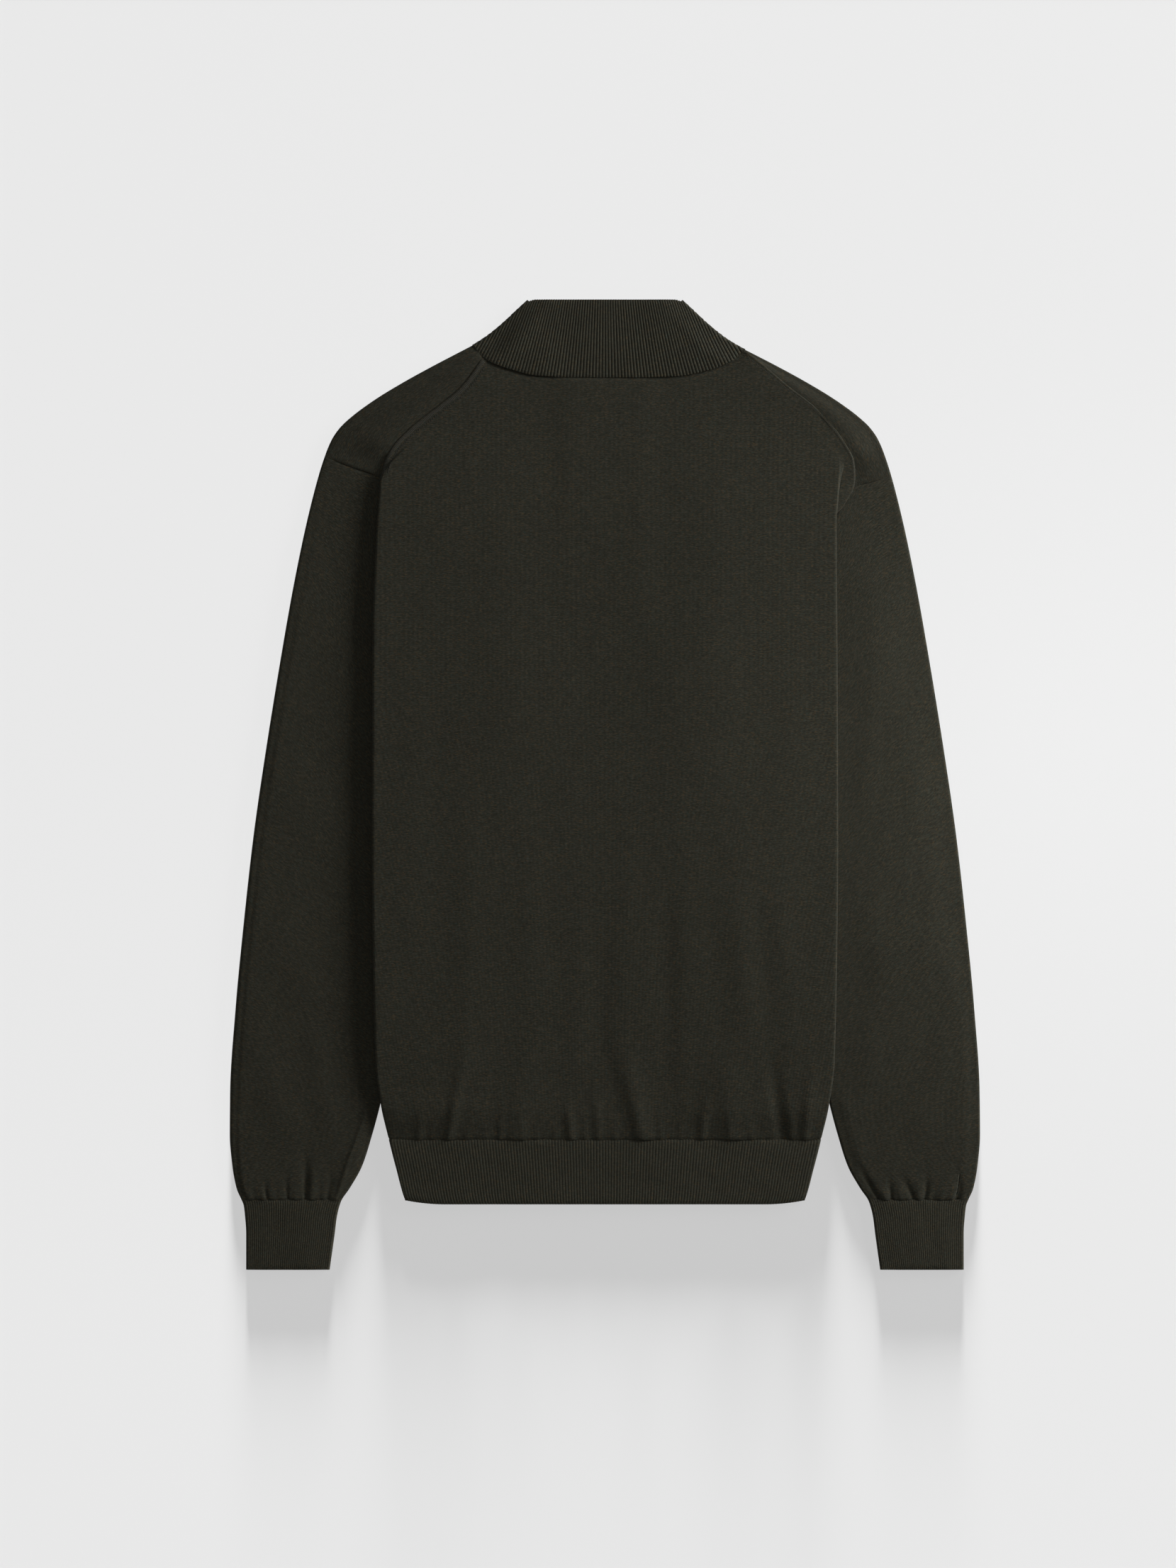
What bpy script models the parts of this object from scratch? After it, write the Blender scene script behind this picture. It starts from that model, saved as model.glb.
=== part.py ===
"""Button-neck sweater, laid out flat on its front with its back up.

A fine-gauge knit: back, front, set-in sleeves, ribbed hem, cuffs and stand collar, and a
buttoned placket in the front, which faces the ground.  The front wraps over both shoulders
to seams on the back.  The body lies over the inner halves of the sleeves.

Every cloth piece is a closed wall made from a grid of points through its middle, moved out
to one face and in to the other.  Sizes are in millimetres until a mesh is made.  +Y points
to the collar, +Z up, and -X is the left side as seen from above.
"""

import math

import bmesh
import bpy
import numpy as np

MM = 0.001
LEFT, RIGHT = -1, 1
NAME = {LEFT: "left", RIGHT: "right"}

# Walls, and the heights of the middles of the layers.
WALL = 1.5
BAND = 1.2
SEAM = 0.3
GROUND = WALL / 2
BODY_TOP = 5.4
SLEEVE_TOP = 3.4
SLEEVE_CROWN = 1.0

# How far the body's lower and upper layers are lifted where a sleeve lies under them, over
# what width the cloth comes down beside it, and how much lower the hem lies.
SLEEVE_LIFT = 4.9
BODY_LIFT = 3.85
LIFT_WIDTH = 70.0
LIFT_FALL = 38.0
HEM_DROP = 0.8

# Ribs: how far a ridge stands out and a valley lies in, and how many ribs show.
RIB = 0.3
HEM_RIBS = 140
CUFF_RIBS = 44
COLLAR_RIBS = 60
OUTER_PER_INNER = 4

# Heights along the garment.
HEM_SEAM = -285.0
HEM_END = -336.9
HEM_ROUNDING = 4.5
CUFF_SEAM = -333.5
CUFF_END = -389.6
COLLAR_TOP = 389.6
UNDERARM = 80.0
SHOULDER_FROM = 244.0

# Placket and buttons.
PLACKET_HALF = 15.0
PLACKET_END = 150.0
SLIT_END = PLACKET_END - SEAM
FRONT_NECK = 275.0
FRONT_COLLAR_TOP = 336.0
PLACKET_LIFT = 2.15
PLACKET_SWELL = 0.75
PLACKET_FALL = 22.0
UNDER_REACH = 38.0
OVER_REACH = 48.0
BUTTON_RADIUS = 5.75
BUTTON_THICK = 2.0
BUTTONS_Y = (322.0, 270.0, 222.0, 174.0)

# How far the back's sides reach round and under the body: y, left, right.
LAP = (
    (178.0, 26.0, 26.0),
    (206.0, 8.0, 8.0),
    (217.7, 6.0, 2.0),
    (234.8, 3.0, 2.0),
    (244.0, 1.5, 2.0),
)

# The back's edge where it has opened out from its fold: how far it turns out, the heights of
# that turn and of the last point, and distances of its points from the seam once it is flat.
# ROUNDED is how far a round fold's 45 degree points lie in, as a share of its radius.
OPENED_OUT = 2.5
OPENED_TURN_Z = 4.4
OPENED_LAST_Z = 3.5
FLAT_EDGE = (14.0, 11.8, 9.6, 7.4, 5.2, 2.6, 0.0)
ROUNDED = 0.29

# Rows of the body's two layers up to the armholes, rows of the back beside them, and shares
# of the way up the shoulder.
BODY_ROWS = (-260.0, -231.0, -150.0, -60.0, 40.0, 110.0, SLIT_END, 178.0, 206.0)
ARMHOLE_ROWS = (217.7, 220.5, 225.7, 234.8, SHOULDER_FROM)
SHOULDER_SHARES = (0.07, 0.15, 0.24, 0.36, 0.56, 0.8, 1.0)

# Outline of the whole garment, the same on both sides: y, half_width.
OUTLINE = (
    (389.6, 62.5),
    (382.5, 70.4),
    (373.4, 80.1),
    (364.2, 90.9),
    (355.1, 104.0),
    (346.0, 120.3),
    (336.9, 137.4),
    (323.2, 162.2),
    (309.5, 184.7),
    (295.8, 203.5),
    (286.7, 213.2),
    (277.6, 219.5),
    (263.9, 225.2),
    (245.7, 230.9),
    (209.2, 240.0),
    (163.6, 249.4),
    (118.0, 257.6),
    (26.8, 272.5),
    (-41.6, 282.4),
    (-110.0, 290.1),
    (-178.4, 296.7),
    (-246.8, 301.2),
    (-281.0, 301.5),
    (-306.0, 299.5),
    (-324.3, 296.1),
    (-333.5, 292.1),
    (-338.0, 290.4),
    (-347.1, 289.3),
    (-360.8, 288.4),
    (-389.6, 288.4),
)

# Inner edge of a sleeve and its cuff, under the body down to y -260: y, x.
SLEEVE_INNER = (
    (80.0, 98.0),
    (0.0, 118.0),
    (-100.0, 142.0),
    (-180.0, 163.0),
    (-260.0, 181.3),
    (-281.0, 187.0),
    (-306.0, 195.0),
    (-324.3, 205.2),
    (-333.5, 211.5),
    (-338.0, 213.2),
    (-347.0, 215.4),
    (-361.0, 217.2),
    (-389.6, 221.2),
)

# Folded sides of the body and hem: y, left, right.
BODY_SIDE = (
    (272.0, 179.0, 188.1),
    (246.0, 180.1, 187.8),
    (209.0, 183.0, 185.8),
    (118.0, 186.4, 186.4),
    (-53.0, 187.0, 187.0),
    (-150.0, 186.0, 186.0),
    (-224.0, 184.1, 184.1),
    (-258.0, 179.6, 179.6),
    (-285.0, 173.6, 173.6),
    (-310.7, 167.6, 167.6),
    (-329.0, 163.3, 163.3),
    (-336.9, 160.6, 160.6),
)

# Seam at the side of the back, up the armhole where it shows and over the shoulder: y, x.
BACK_SEAM = {
    LEFT: (
        (246.2, 180.3),
        (260.5, 176.3),
        (273.6, 168.3),
        (286.7, 155.2),
        (305.0, 131.8),
        (318.1, 115.9),
        (342.6, 97.6),
    ),
    RIGHT: (
        (217.7, 187.9),
        (225.7, 194.8),
        (234.8, 199.9),
        (241.0, 201.0),
        (248.0, 201.0),
        (259.4, 199.9),
        (272.5, 193.1),
        (285.6, 183.9),
        (302.7, 167.4),
        (316.9, 148.6),
        (334.0, 128.1),
        (347.1, 111.5),
    ),
}

# Seam of the collar on the back, from the middle to the fold: x, y.
NECKLINE = {
    LEFT: (
        (0.0, 327.2),
        (27.0, 327.4),
        (55.0, 328.8),
        (77.0, 334.0),
        (90.0, 338.6),
        (97.6, 342.6),
        (103.0, 348.5),
        (106.5, 353.5),
    ),
    RIGHT: (
        (0.0, 327.2),
        (28.0, 327.2),
        (57.0, 328.1),
        (81.9, 332.9),
        (101.9, 339.7),
        (108.5, 344.0),
        (111.5, 347.1),
        (113.5, 350.0),
    ),
}

# Upper edge of a sleeve, from its hidden inner corner to the outline: x, y.
ARMHOLE = {
    LEFT: (
        (98.0, 80.0),
        (132.0, 135.0),
        (162.0, 185.0),
        (174.0, 220.0),
        (180.3, 246.2),
        (202.0, 254.8),
        (224.6, 263.2),
    ),
    RIGHT: (
        (98.0, 80.0),
        (132.0, 135.0),
        (162.0, 178.0),
        (187.9, 217.7),
        (191.4, 220.5),
        (194.8, 225.7),
        (199.9, 234.8),
        (201.0, 239.6),
        (214.3, 243.4),
        (230.2, 248.4),
    ),
}
ARMHOLE_CORNER = {LEFT: (180.3, 246.2), RIGHT: (201.0, 239.6)}

# Where the right armhole comes out from under the body's fold.
ARMHOLE_LOWEST = 187.9

# Where the body, lifted by a sleeve, has come down to the ground again: x, y.
LIFT_END = ((92.0, 150.0), (132.0, 209.0), (171.0, 268.0), (188.0, 286.0))

# Gathers above the hem's seam: x, lean, length, depth, half_width.
HEM_GATHERS = (
    (-127.9, 13.2, 54.0, 1.1, 4.5),
    (-97.6, 1.0, 26.0, 0.8, 4.0),
    (-67.0, 0.0, 24.0, 0.7, 4.0),
    (-32.1, 1.0, 36.0, 1.0, 4.0),
    (-8.7, 0.0, 44.0, 0.8, 4.5),
    (22.6, -3.0, 45.0, 1.0, 4.0),
    (46.0, 0.0, 24.0, 0.7, 4.0),
    (75.1, -1.0, 30.0, 0.8, 4.0),
    (90.0, -2.0, 40.0, 0.8, 4.0),
    (121.0, -12.0, 40.0, 0.8, 4.0),
    (149.7, -19.0, 54.0, 1.2, 4.5),
)

# Gathers above the cuffs, measured in from the sleeve's outer edge: across, length, depth,
# half_width.
CUFF_GATHERS = {
    LEFT: (
        (18.5, 20.0, 0.7, 2.5),
        (36.5, 24.0, 0.7, 3.0),
        (52.5, 42.0, 0.9, 3.5),
        (70.0, 24.0, 0.6, 3.0),
    ),
    RIGHT: (
        (9.5, 22.0, 0.7, 3.0),
        (36.0, 26.0, 0.8, 3.0),
        (52.0, 20.0, 0.6, 2.5),
        (66.0, 24.0, 0.9, 3.5),
    ),
}


def through(rows, at, column=1):
    """Value at `at` of the smooth curve through one column of a table, over its first."""
    knots = np.array([row[0] for row in rows])
    values = np.array([row[column] for row in rows])
    if knots[0] > knots[-1]:
        knots, values = knots[::-1], values[::-1]
    rises = np.diff(values) / np.diff(knots)
    product = rises[:-1] * rises[1:]
    total = np.where(product > 0, rises[:-1] + rises[1:], 1.0)
    inside = np.where(product > 0, 2 * product / total, 0.0)
    slopes = np.concatenate([rises[:1], inside, rises[-1:]])
    at = np.clip(at, knots[0], knots[-1])
    start = np.clip(np.searchsorted(knots, at) - 1, 0, len(knots) - 2)
    span = knots[start + 1] - knots[start]
    t = (at - knots[start]) / span
    ends = values[start] * (1 + 2 * t) * (1 - t) ** 2 + values[start + 1] * t * t * (3 - 2 * t)
    return ends + span * t * (1 - t) * (slopes[start] * (1 - t) - slopes[start + 1] * t)


def ramp(value):
    """0 below 0, 1 above 1, and smooth between."""
    value = np.clip(value, 0.0, 1.0)
    return value * value * (3.0 - 2.0 * value)


def half_width(y):
    return through(OUTLINE, y)


def body_side(side, y):
    return through(BODY_SIDE, y, 1 if side == LEFT else 2)


def lap(side, y):
    return through(LAP, y, 1 if side == LEFT else 2)


def cover(x, y):
    """How far a sleeve under the body lifts it: 0 on the ground, 1 over the sleeve."""
    across = np.abs(x)
    over_sleeve = ramp((across - through(SLEEVE_INNER, y) + LIFT_WIDTH + 2.0) / LIFT_WIDTH)
    below_armhole = ramp((through(LIFT_END, across) - y) / LIFT_FALL)
    above_hem = ramp((y - HEM_SEAM + 2.0) / 32.0)
    return over_sleeve * below_armhole * above_hem


def over_placket(x, y, reach):
    """1 over the placket, fading to 0 at `reach` from the middle and just below its end."""
    beside = ramp((reach - np.abs(x)) / PLACKET_FALL)
    return beside * ramp((y - PLACKET_END + PLACKET_FALL) / PLACKET_FALL)


def lower(x, y):
    """Height of the middle of the body's lower layer."""
    placket = PLACKET_LIFT * over_placket(x, y, UNDER_REACH)
    return GROUND + SLEEVE_LIFT * cover(x, y) + placket


def upper(x, y):
    """Height of the middle of the body's upper layer."""
    hem_drop = HEM_DROP * ramp((HEM_SEAM - y) / 50.0)
    swell = PLACKET_SWELL * over_placket(x, y, OVER_REACH)
    return BODY_TOP + BODY_LIFT * cover(x, y) + swell - hem_drop


def hem_gathers(x, y):
    """How deep the gathers above the hem are here, less the swell of the cloth over them."""
    above = y - HEM_SEAM
    depth = 0.0
    for centre, lean, length, deep, width in HEM_GATHERS:
        axis = centre + lean * above / length
        across = np.exp(-(((x - axis) / width) ** 2))
        depth = depth + deep * ramp(1.0 - above / length) * across
    swell = 0.5 * np.exp(-(((above - 16.0) / 14.0) ** 2))
    return depth - swell


def outward(middle, closed, sign):
    """Unit normals of a grid of points, on the side that `sign` picks."""
    if closed:
        across = np.roll(middle, -1, axis=1) - np.roll(middle, 1, axis=1)
    else:
        across = np.gradient(middle, axis=1)
    normal = np.cross(across, np.gradient(middle, axis=0))
    return sign * normal / np.linalg.norm(normal, axis=-1, keepdims=True)


def material(name, colour, roughness):
    made = bpy.data.materials.new(name)
    made.use_nodes = True
    shader = made.node_tree.nodes["Principled BSDF"]
    shader.inputs["Base Color"].default_value = (*colour, 1.0)
    shader.inputs["Roughness"].default_value = roughness
    made.diffuse_color = (*colour, 1.0)
    return made


def place(name, mesh, surface):
    """One named object from a bmesh."""
    bmesh.ops.recalc_face_normals(mesh, faces=mesh.faces)
    data = bpy.data.meshes.new(name)
    mesh.to_mesh(data)
    mesh.free()
    data.materials.append(surface)
    data.shade_smooth()
    data.set_sharp_from_angle(angle=math.radians(40.0))
    made = bpy.data.objects.new(name, data)
    bpy.context.collection.objects.link(made)
    return made


def cloth(name, middle, surface, sign=1, closed=False, per=None, raised=None, present=None):
    """A closed cloth wall about a grid of middle points, rows along the garment.

    per: how many outer columns lie over each inner one.  raised: how far each outer column
    stands out.  present: which cells of the inner grid there are, where some are left out.
    """
    normal = outward(middle, closed, sign)
    columns = middle.shape[1]
    per = per or [1] * (columns if closed else columns - 1)
    first = np.concatenate([[0], np.cumsum(per)])
    raised = np.zeros(columns) if raised is None else raised
    outer = middle + normal * (WALL / 2 + raised)[None, :, None]
    inner = (middle - normal * WALL / 2)[:, first[:-1] if closed else first]
    if present is None:
        present = np.ones((middle.shape[0] - 1, len(per)), bool)

    mesh = bmesh.new()
    out = [[mesh.verts.new(point) for point in row] for row in outer * MM]
    ins = [[mesh.verts.new(point) for point in row] for row in inner * MM]

    def is_there(i, j):
        if closed:
            j %= len(per)
        return 0 <= i < present.shape[0] and 0 <= j < len(per) and present[i, j]

    for i, j in np.argwhere(present):
        span = [k % columns for k in range(first[j], first[j + 1] + 1)]
        near, far = j, (j + 1) % len(ins[0])
        for a, b in zip(span, span[1:]):
            mesh.faces.new((out[i][a], out[i][b], out[i + 1][b], out[i + 1][a]))
        mesh.faces.new((ins[i][near], ins[i + 1][near], ins[i + 1][far], ins[i][far]))
        for row, beyond in ((i, i - 1), (i + 1, i + 1)):
            if not is_there(beyond, j):
                mesh.faces.new([out[row][k] for k in span] + [ins[row][far], ins[row][near]])
        for ends, beyond in (((span[0], near), j - 1), ((span[-1], far), j + 1)):
            if not is_there(i, beyond):
                o, n = ends
                mesh.faces.new((out[i][o], out[i + 1][o], ins[i + 1][n], ins[i][n]))

    bmesh.ops.delete(mesh, geom=[v for v in mesh.verts if not v.link_faces], context="VERTS")
    return place(name, mesh, surface)


def ribs(plain_before, ribbed, plain_after):
    """Outer columns over each inner one, and how far each stands out, for a ribbed stretch."""
    groups = ribbed * 2 // OUTER_PER_INNER
    per = [1] * plain_before + [OUTER_PER_INNER] * groups + [1] * plain_after
    zigzag = [RIB if k % 2 else -RIB for k in range(ribbed * 2 + 1)]
    raised = np.array([0.0] * plain_before + zigzag + [0.0] * plain_after)
    return per, raised


def back_edge(side, y):
    """Distances from the middle, and heights, of the back's wall from its flat top outward.

    Below the armhole it rolls round the side fold and laps under the body.  Above, it opens
    out until it lies flat up to the shoulder seam.
    """
    front = body_side(side, y) - WALL / 2
    seam = last = through(BACK_SEAM[side], y) - SEAM / 2
    if side == LEFT and y > SHOULDER_FROM:
        front = seam - WALL / 2
    elif side == LEFT or y < ARMHOLE_ROWS[1]:
        last = front - lap(side, y)
    top, low = upper(side * front, y), lower(side * front, y)
    radius = (top - low) / 2
    opened = min(max((last - front + radius) / (radius + OPENED_OUT), 0.0), 1.0)
    turn = front - radius + opened * (radius + OPENED_OUT)
    turn_z = low + opened * (OPENED_TURN_Z - low)
    last_z = lower(side * last, y) * (1 - opened) + OPENED_LAST_Z * opened
    bulge = ROUNDED * radius
    middle = (turn + last) / 2
    x = np.array([front - radius, front - bulge, front, front - bulge, turn, middle, last])
    z = np.array([top, top - bulge, top - radius, low + bulge, turn_z, 0.0, last_z])
    x[3] += opened * (bulge + 0.8)
    z[3] += opened * ((top - radius + turn_z) / 2 - z[3])
    z[5] = lower(side * middle, y) * (1 - opened) + opened * (turn_z + last_z) / 2

    flat_from = {LEFT: SHOULDER_FROM, RIGHT: 236.0}[side]
    flatness = ramp((y - flat_from) / (276.0 - flat_from))
    flat_x = seam - np.array(FLAT_EDGE)
    x = x + flatness * (flat_x - x)
    z = z + flatness * (upper(side * flat_x, y) - z)
    if side == LEFT and y > SHOULDER_FROM:
        x += seam - (1 - flatness) * WALL / 2 - x.max()
    return x, z


def rounded_end(x):
    """How far the hem's lower edge rises toward its two rounded corners."""
    return HEM_ROUNDING * ramp((np.abs(x) - 128.0) / 32.0)


def back_rows(ys, across):
    """Rows of a wall that covers the body's top and wraps both sides, at the heights `ys`."""
    rows = []
    for y in ys:
        (left_x, left_z), (right_x, right_z) = (back_edge(side, y) for side in (LEFT, RIGHT))
        x = -left_x[0] + (right_x[0] + left_x[0]) * across
        z = upper(x, y) - hem_gathers(x, y) * (y > HEM_SEAM)
        row_x = np.concatenate([-left_x[:0:-1], x, right_x[1:]])
        row_z = np.concatenate([left_z[:0:-1], z, right_z[1:]])
        rows.append(np.stack([row_x, np.full(row_x.shape, y), row_z], axis=-1))
    return np.array(rows)


def gathered_across():
    """Fractions across the body with columns on and beside each gather, and between them."""
    reach = body_side(LEFT, HEM_SEAM) - 3.0
    marks = [-reach, reach]
    for centre, _, _, _, width in HEM_GATHERS:
        marks += [centre - width, centre, centre + width]
    marks.sort()
    filled = [marks[0]]
    for mark in marks[1:]:
        pieces = math.ceil((mark - filled[-1]) / 16.0)
        start = filled[-1]
        filled += [start + (mark - start) * k / pieces for k in range(1, pieces + 1)]
    return (np.array(filled) + reach) / (2 * reach)


def back_panel(surface):
    across = gathered_across()
    body = back_rows((HEM_SEAM + SEAM / 2, -276.0, *BODY_ROWS, *ARMHOLE_ROWS), across)
    tops = {side: BACK_SEAM[side][-1][0] for side in (LEFT, RIGHT)}
    rows = []
    for share in SHOULDER_SHARES:
        sides = []
        for side in (LEFT, RIGHT):
            y = SHOULDER_FROM + share * (tops[side] - SHOULDER_FROM)
            sides.append(back_edge(side, y))
        (left_x, left_z), (right_x, right_z) = sides
        x = -left_x[0] + (right_x[0] + left_x[0]) * across
        x = np.concatenate([-left_x[:0:-1], x, right_x[1:]])
        widest = {LEFT: left_x.max(), RIGHT: right_x.max()}
        y = np.zeros(x.shape)
        for side in (LEFT, RIGHT):
            there = np.sign(x) == side
            neck_x = np.abs(x[there]) * BACK_SEAM[side][-1][1] / widest[side]
            neck_y = through(NECKLINE[side], neck_x) - SEAM / 2
            y[there] = SHOULDER_FROM + share * (neck_y - SHOULDER_FROM)
        z = np.concatenate([left_z[:0:-1], upper(x, y)[6:-6], right_z[1:]])
        rows.append(np.stack([x, y, z], axis=-1))
    middle = np.concatenate([body, np.array(rows)])
    return cloth("back_panel", middle, surface)


def hem_rib_back(surface):
    across = np.linspace(0.0, 1.0, HEM_RIBS * 2 + 1)
    middle = back_rows((HEM_END, (HEM_END + HEM_SEAM) / 2, HEM_SEAM - SEAM / 2), across)
    middle[0, :, 1] += rounded_end(middle[0, :, 0])
    per, raised = ribs(6, HEM_RIBS, 6)
    return cloth("hem_rib_back", middle, surface, per=per, raised=raised)


def hem_rib_front(surface):
    rows = []
    for y in (HEM_END, (HEM_END + HEM_SEAM) / 2, HEM_SEAM - SEAM / 2):
        side = body_side(LEFT, y) - WALL / 2 - lap(LEFT, y) - SEAM
        x = np.linspace(-side, side, 9)
        rows.append(np.stack([x, np.full(x.shape, y), lower(x, y)], axis=-1))
    rows[0][:, 1] += rounded_end(rows[0][:, 0])
    return cloth("hem_rib_front", np.array(rows), surface, sign=-1)


def fold_edge(point, towards, low, high):
    """Five points round a fold whose outer face passes through `point`, from below to above."""
    radius = (high - low) / 2
    centre = point - towards * (radius + WALL / 2)
    angles = np.radians((-90.0, -45.0, 0.0, 45.0, 90.0))
    plan = centre + towards * (radius * np.cos(angles))[:, None]
    return np.column_stack([plan, (low + high) / 2 + radius * np.sin(angles)])


def plan_unit(vector):
    return vector / np.linalg.norm(vector)


def front_neck(side, share):
    """Seam of the collar under the front: share 0 at the placket, 1 at the shoulder fold."""
    neck_x, neck_y = NECKLINE[side][-1]
    slit = PLACKET_HALF + SEAM
    return slit + share * (neck_x - slit), FRONT_NECK + share**2.2 * (neck_y - FRONT_NECK)


def front_half(side):
    """Half of the front: middle points by rows, from the slit outward, and its body rows."""
    slit = PLACKET_HALF + SEAM
    body_shares = np.linspace(0.0, 1.0, 7)
    corner_x, corner_y = ARMHOLE_CORNER[side]
    outer_x, outer_y = ARMHOLE[side][-1]
    neck_x, neck_y = NECKLINE[side][-1]
    top_y, _ = BACK_SEAM[side][-1]
    rows = []

    corner_share = (corner_x - slit) / (outer_x - 2.0 - slit)
    beyond = corner_share + (1 - corner_share) * np.array([0.4, 0.75])
    under = np.concatenate([body_shares * corner_share, beyond])
    for share in (0.0, *SHOULDER_SHARES):
        fold_y = outer_y + SEAM / 2 + share * (neck_y - outer_y - SEAM)
        seam_y = SHOULDER_FROM + share * (top_y - SEAM - SHOULDER_FROM)
        if share == 0.0:
            seam_y = corner_y + SEAM
        fold = np.array([half_width(fold_y), fold_y])
        lean = through(BACK_SEAM[side], seam_y - 2.0) - through(BACK_SEAM[side], seam_y)
        clear = SEAM * math.hypot(1.3, 0.8 * lean)
        seam = np.array([through(BACK_SEAM[side], seam_y) + clear, seam_y])
        turn = fold_edge(fold, plan_unit(fold - seam), GROUND, SLEEVE_TOP)
        past_corner = np.clip((under - corner_share) / (1 - corner_share), 0.0, 1.0)
        armhole_y = corner_y + (outer_y - corner_y) * past_corner
        low_y = np.minimum(armhole_y + SEAM * 1.2, outer_y)
        neck = np.array([front_neck(side, q) for q in under])
        under_x = slit + under * (turn[0, 0] - slit)
        under_y = low_y + share * (neck[:, 1] - SEAM / 2 - low_y)
        under_z = GROUND + PLACKET_LIFT * over_placket(under_x, under_y, UNDER_REACH)
        along = np.array([0.2, 0.5, 1.0])[:, None]
        strip = turn[-1, :2] + along * (seam - turn[-1, :2])
        if share == 0.0:
            strip[:, 1] = through(ARMHOLE[side], strip[:, 0]) + SEAM * 0.7
        seam_z = OPENED_LAST_Z + (BODY_TOP - OPENED_LAST_Z) * ramp((seam_y - 250.0) / 28.0)
        strip_z = SLEEVE_TOP + (seam_z - SLEEVE_TOP) * ramp(along[:, 0] * 1.2)
        rows.append(np.concatenate([
            np.column_stack([under_x, under_y, under_z]),
            turn,
            np.column_stack([strip, strip_z]),
        ]))

    body = []
    last_row = {LEFT: 226.0, RIGHT: ARMHOLE_ROWS[0]}[side]
    for y in (HEM_SEAM + SEAM / 2, *BODY_ROWS, last_row):
        edge = body_side(side, y) - WALL / 2 - SEAM - lap(side, y)
        if y >= BODY_ROWS[-1]:
            edge -= 2.7
        if side == RIGHT and y == last_row:
            edge = ARMHOLE_LOWEST - SEAM
        x = slit + body_shares * (edge - slit)
        z = lower(side * x, y)
        if side == RIGHT and y == last_row:
            z = np.minimum(z, 2.0 + (edge - x) * 0.2)
        row = rows[0].copy()
        row[:, 1] += y - SHOULDER_FROM
        row[:7] = np.column_stack([x, np.full(x.shape, y), z])
        body.append(row)
    return np.array(body + rows) * np.array([side, 1.0, 1.0]), len(body)


def front_panel(surface):
    left, body_rows = front_half(LEFT)
    right, _ = front_half(RIGHT)
    middle = np.concatenate([left[:, ::-1], right], axis=1)
    half = left.shape[1]
    beyond_body = half - 7
    slit_row = 1 + BODY_ROWS.index(SLIT_END)
    present = np.ones((middle.shape[0] - 1, middle.shape[1] - 1), bool)
    present[: body_rows, :beyond_body] = False
    present[: body_rows, -beyond_body:] = False
    present[slit_row:, half - 1] = False
    return cloth("front_panel", middle, surface, sign=-1, present=present)


def tube_row(outer, inner, across, top_z, below, slant=None):
    """A ring of middle points round a flattened tube: fold, top, fold, underside.

    across, below: fractions from the outer fold of the points of the top and the underside.
    slant: which way the outer fold faces, if not straight away from the inner one.
    """
    towards = plan_unit(outer - inner)
    slant = towards if slant is None else slant
    outer_fold = fold_edge(outer, slant, GROUND, SLEEVE_TOP)
    inner_fold = fold_edge(inner, -towards, GROUND, SLEEVE_TOP)[::-1]
    top = outer_fold[-1] + across[:, None] * (inner_fold[0] - outer_fold[-1])
    top[:, 2] = top_z
    under = outer_fold[0] + below[::-1, None] * (inner_fold[-1] - outer_fold[0])
    return np.concatenate([outer_fold[:-1], top, inner_fold[1:], under])


def armhole_line(side, start):
    """Plan points of a sleeve's upper edge from `start` inward, and their fractions."""
    points = np.array([start, *ARMHOLE[side][-2::-1]])
    steps = np.diff(points, axis=0)
    lengths = np.hypot(steps[:, 0], steps[:, 1])
    normals = np.column_stack([-steps[:, 1], steps[:, 0]]) / lengths[:, None]
    normals = np.concatenate([normals[:1], normals[:-1] + normals[1:], normals[-1:]])
    normals /= np.linalg.norm(normals, axis=1, keepdims=True)
    fractions = np.concatenate([[0.0], np.cumsum(lengths)]) / lengths.sum()
    return points + normals * SEAM / 2, fractions


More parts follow.
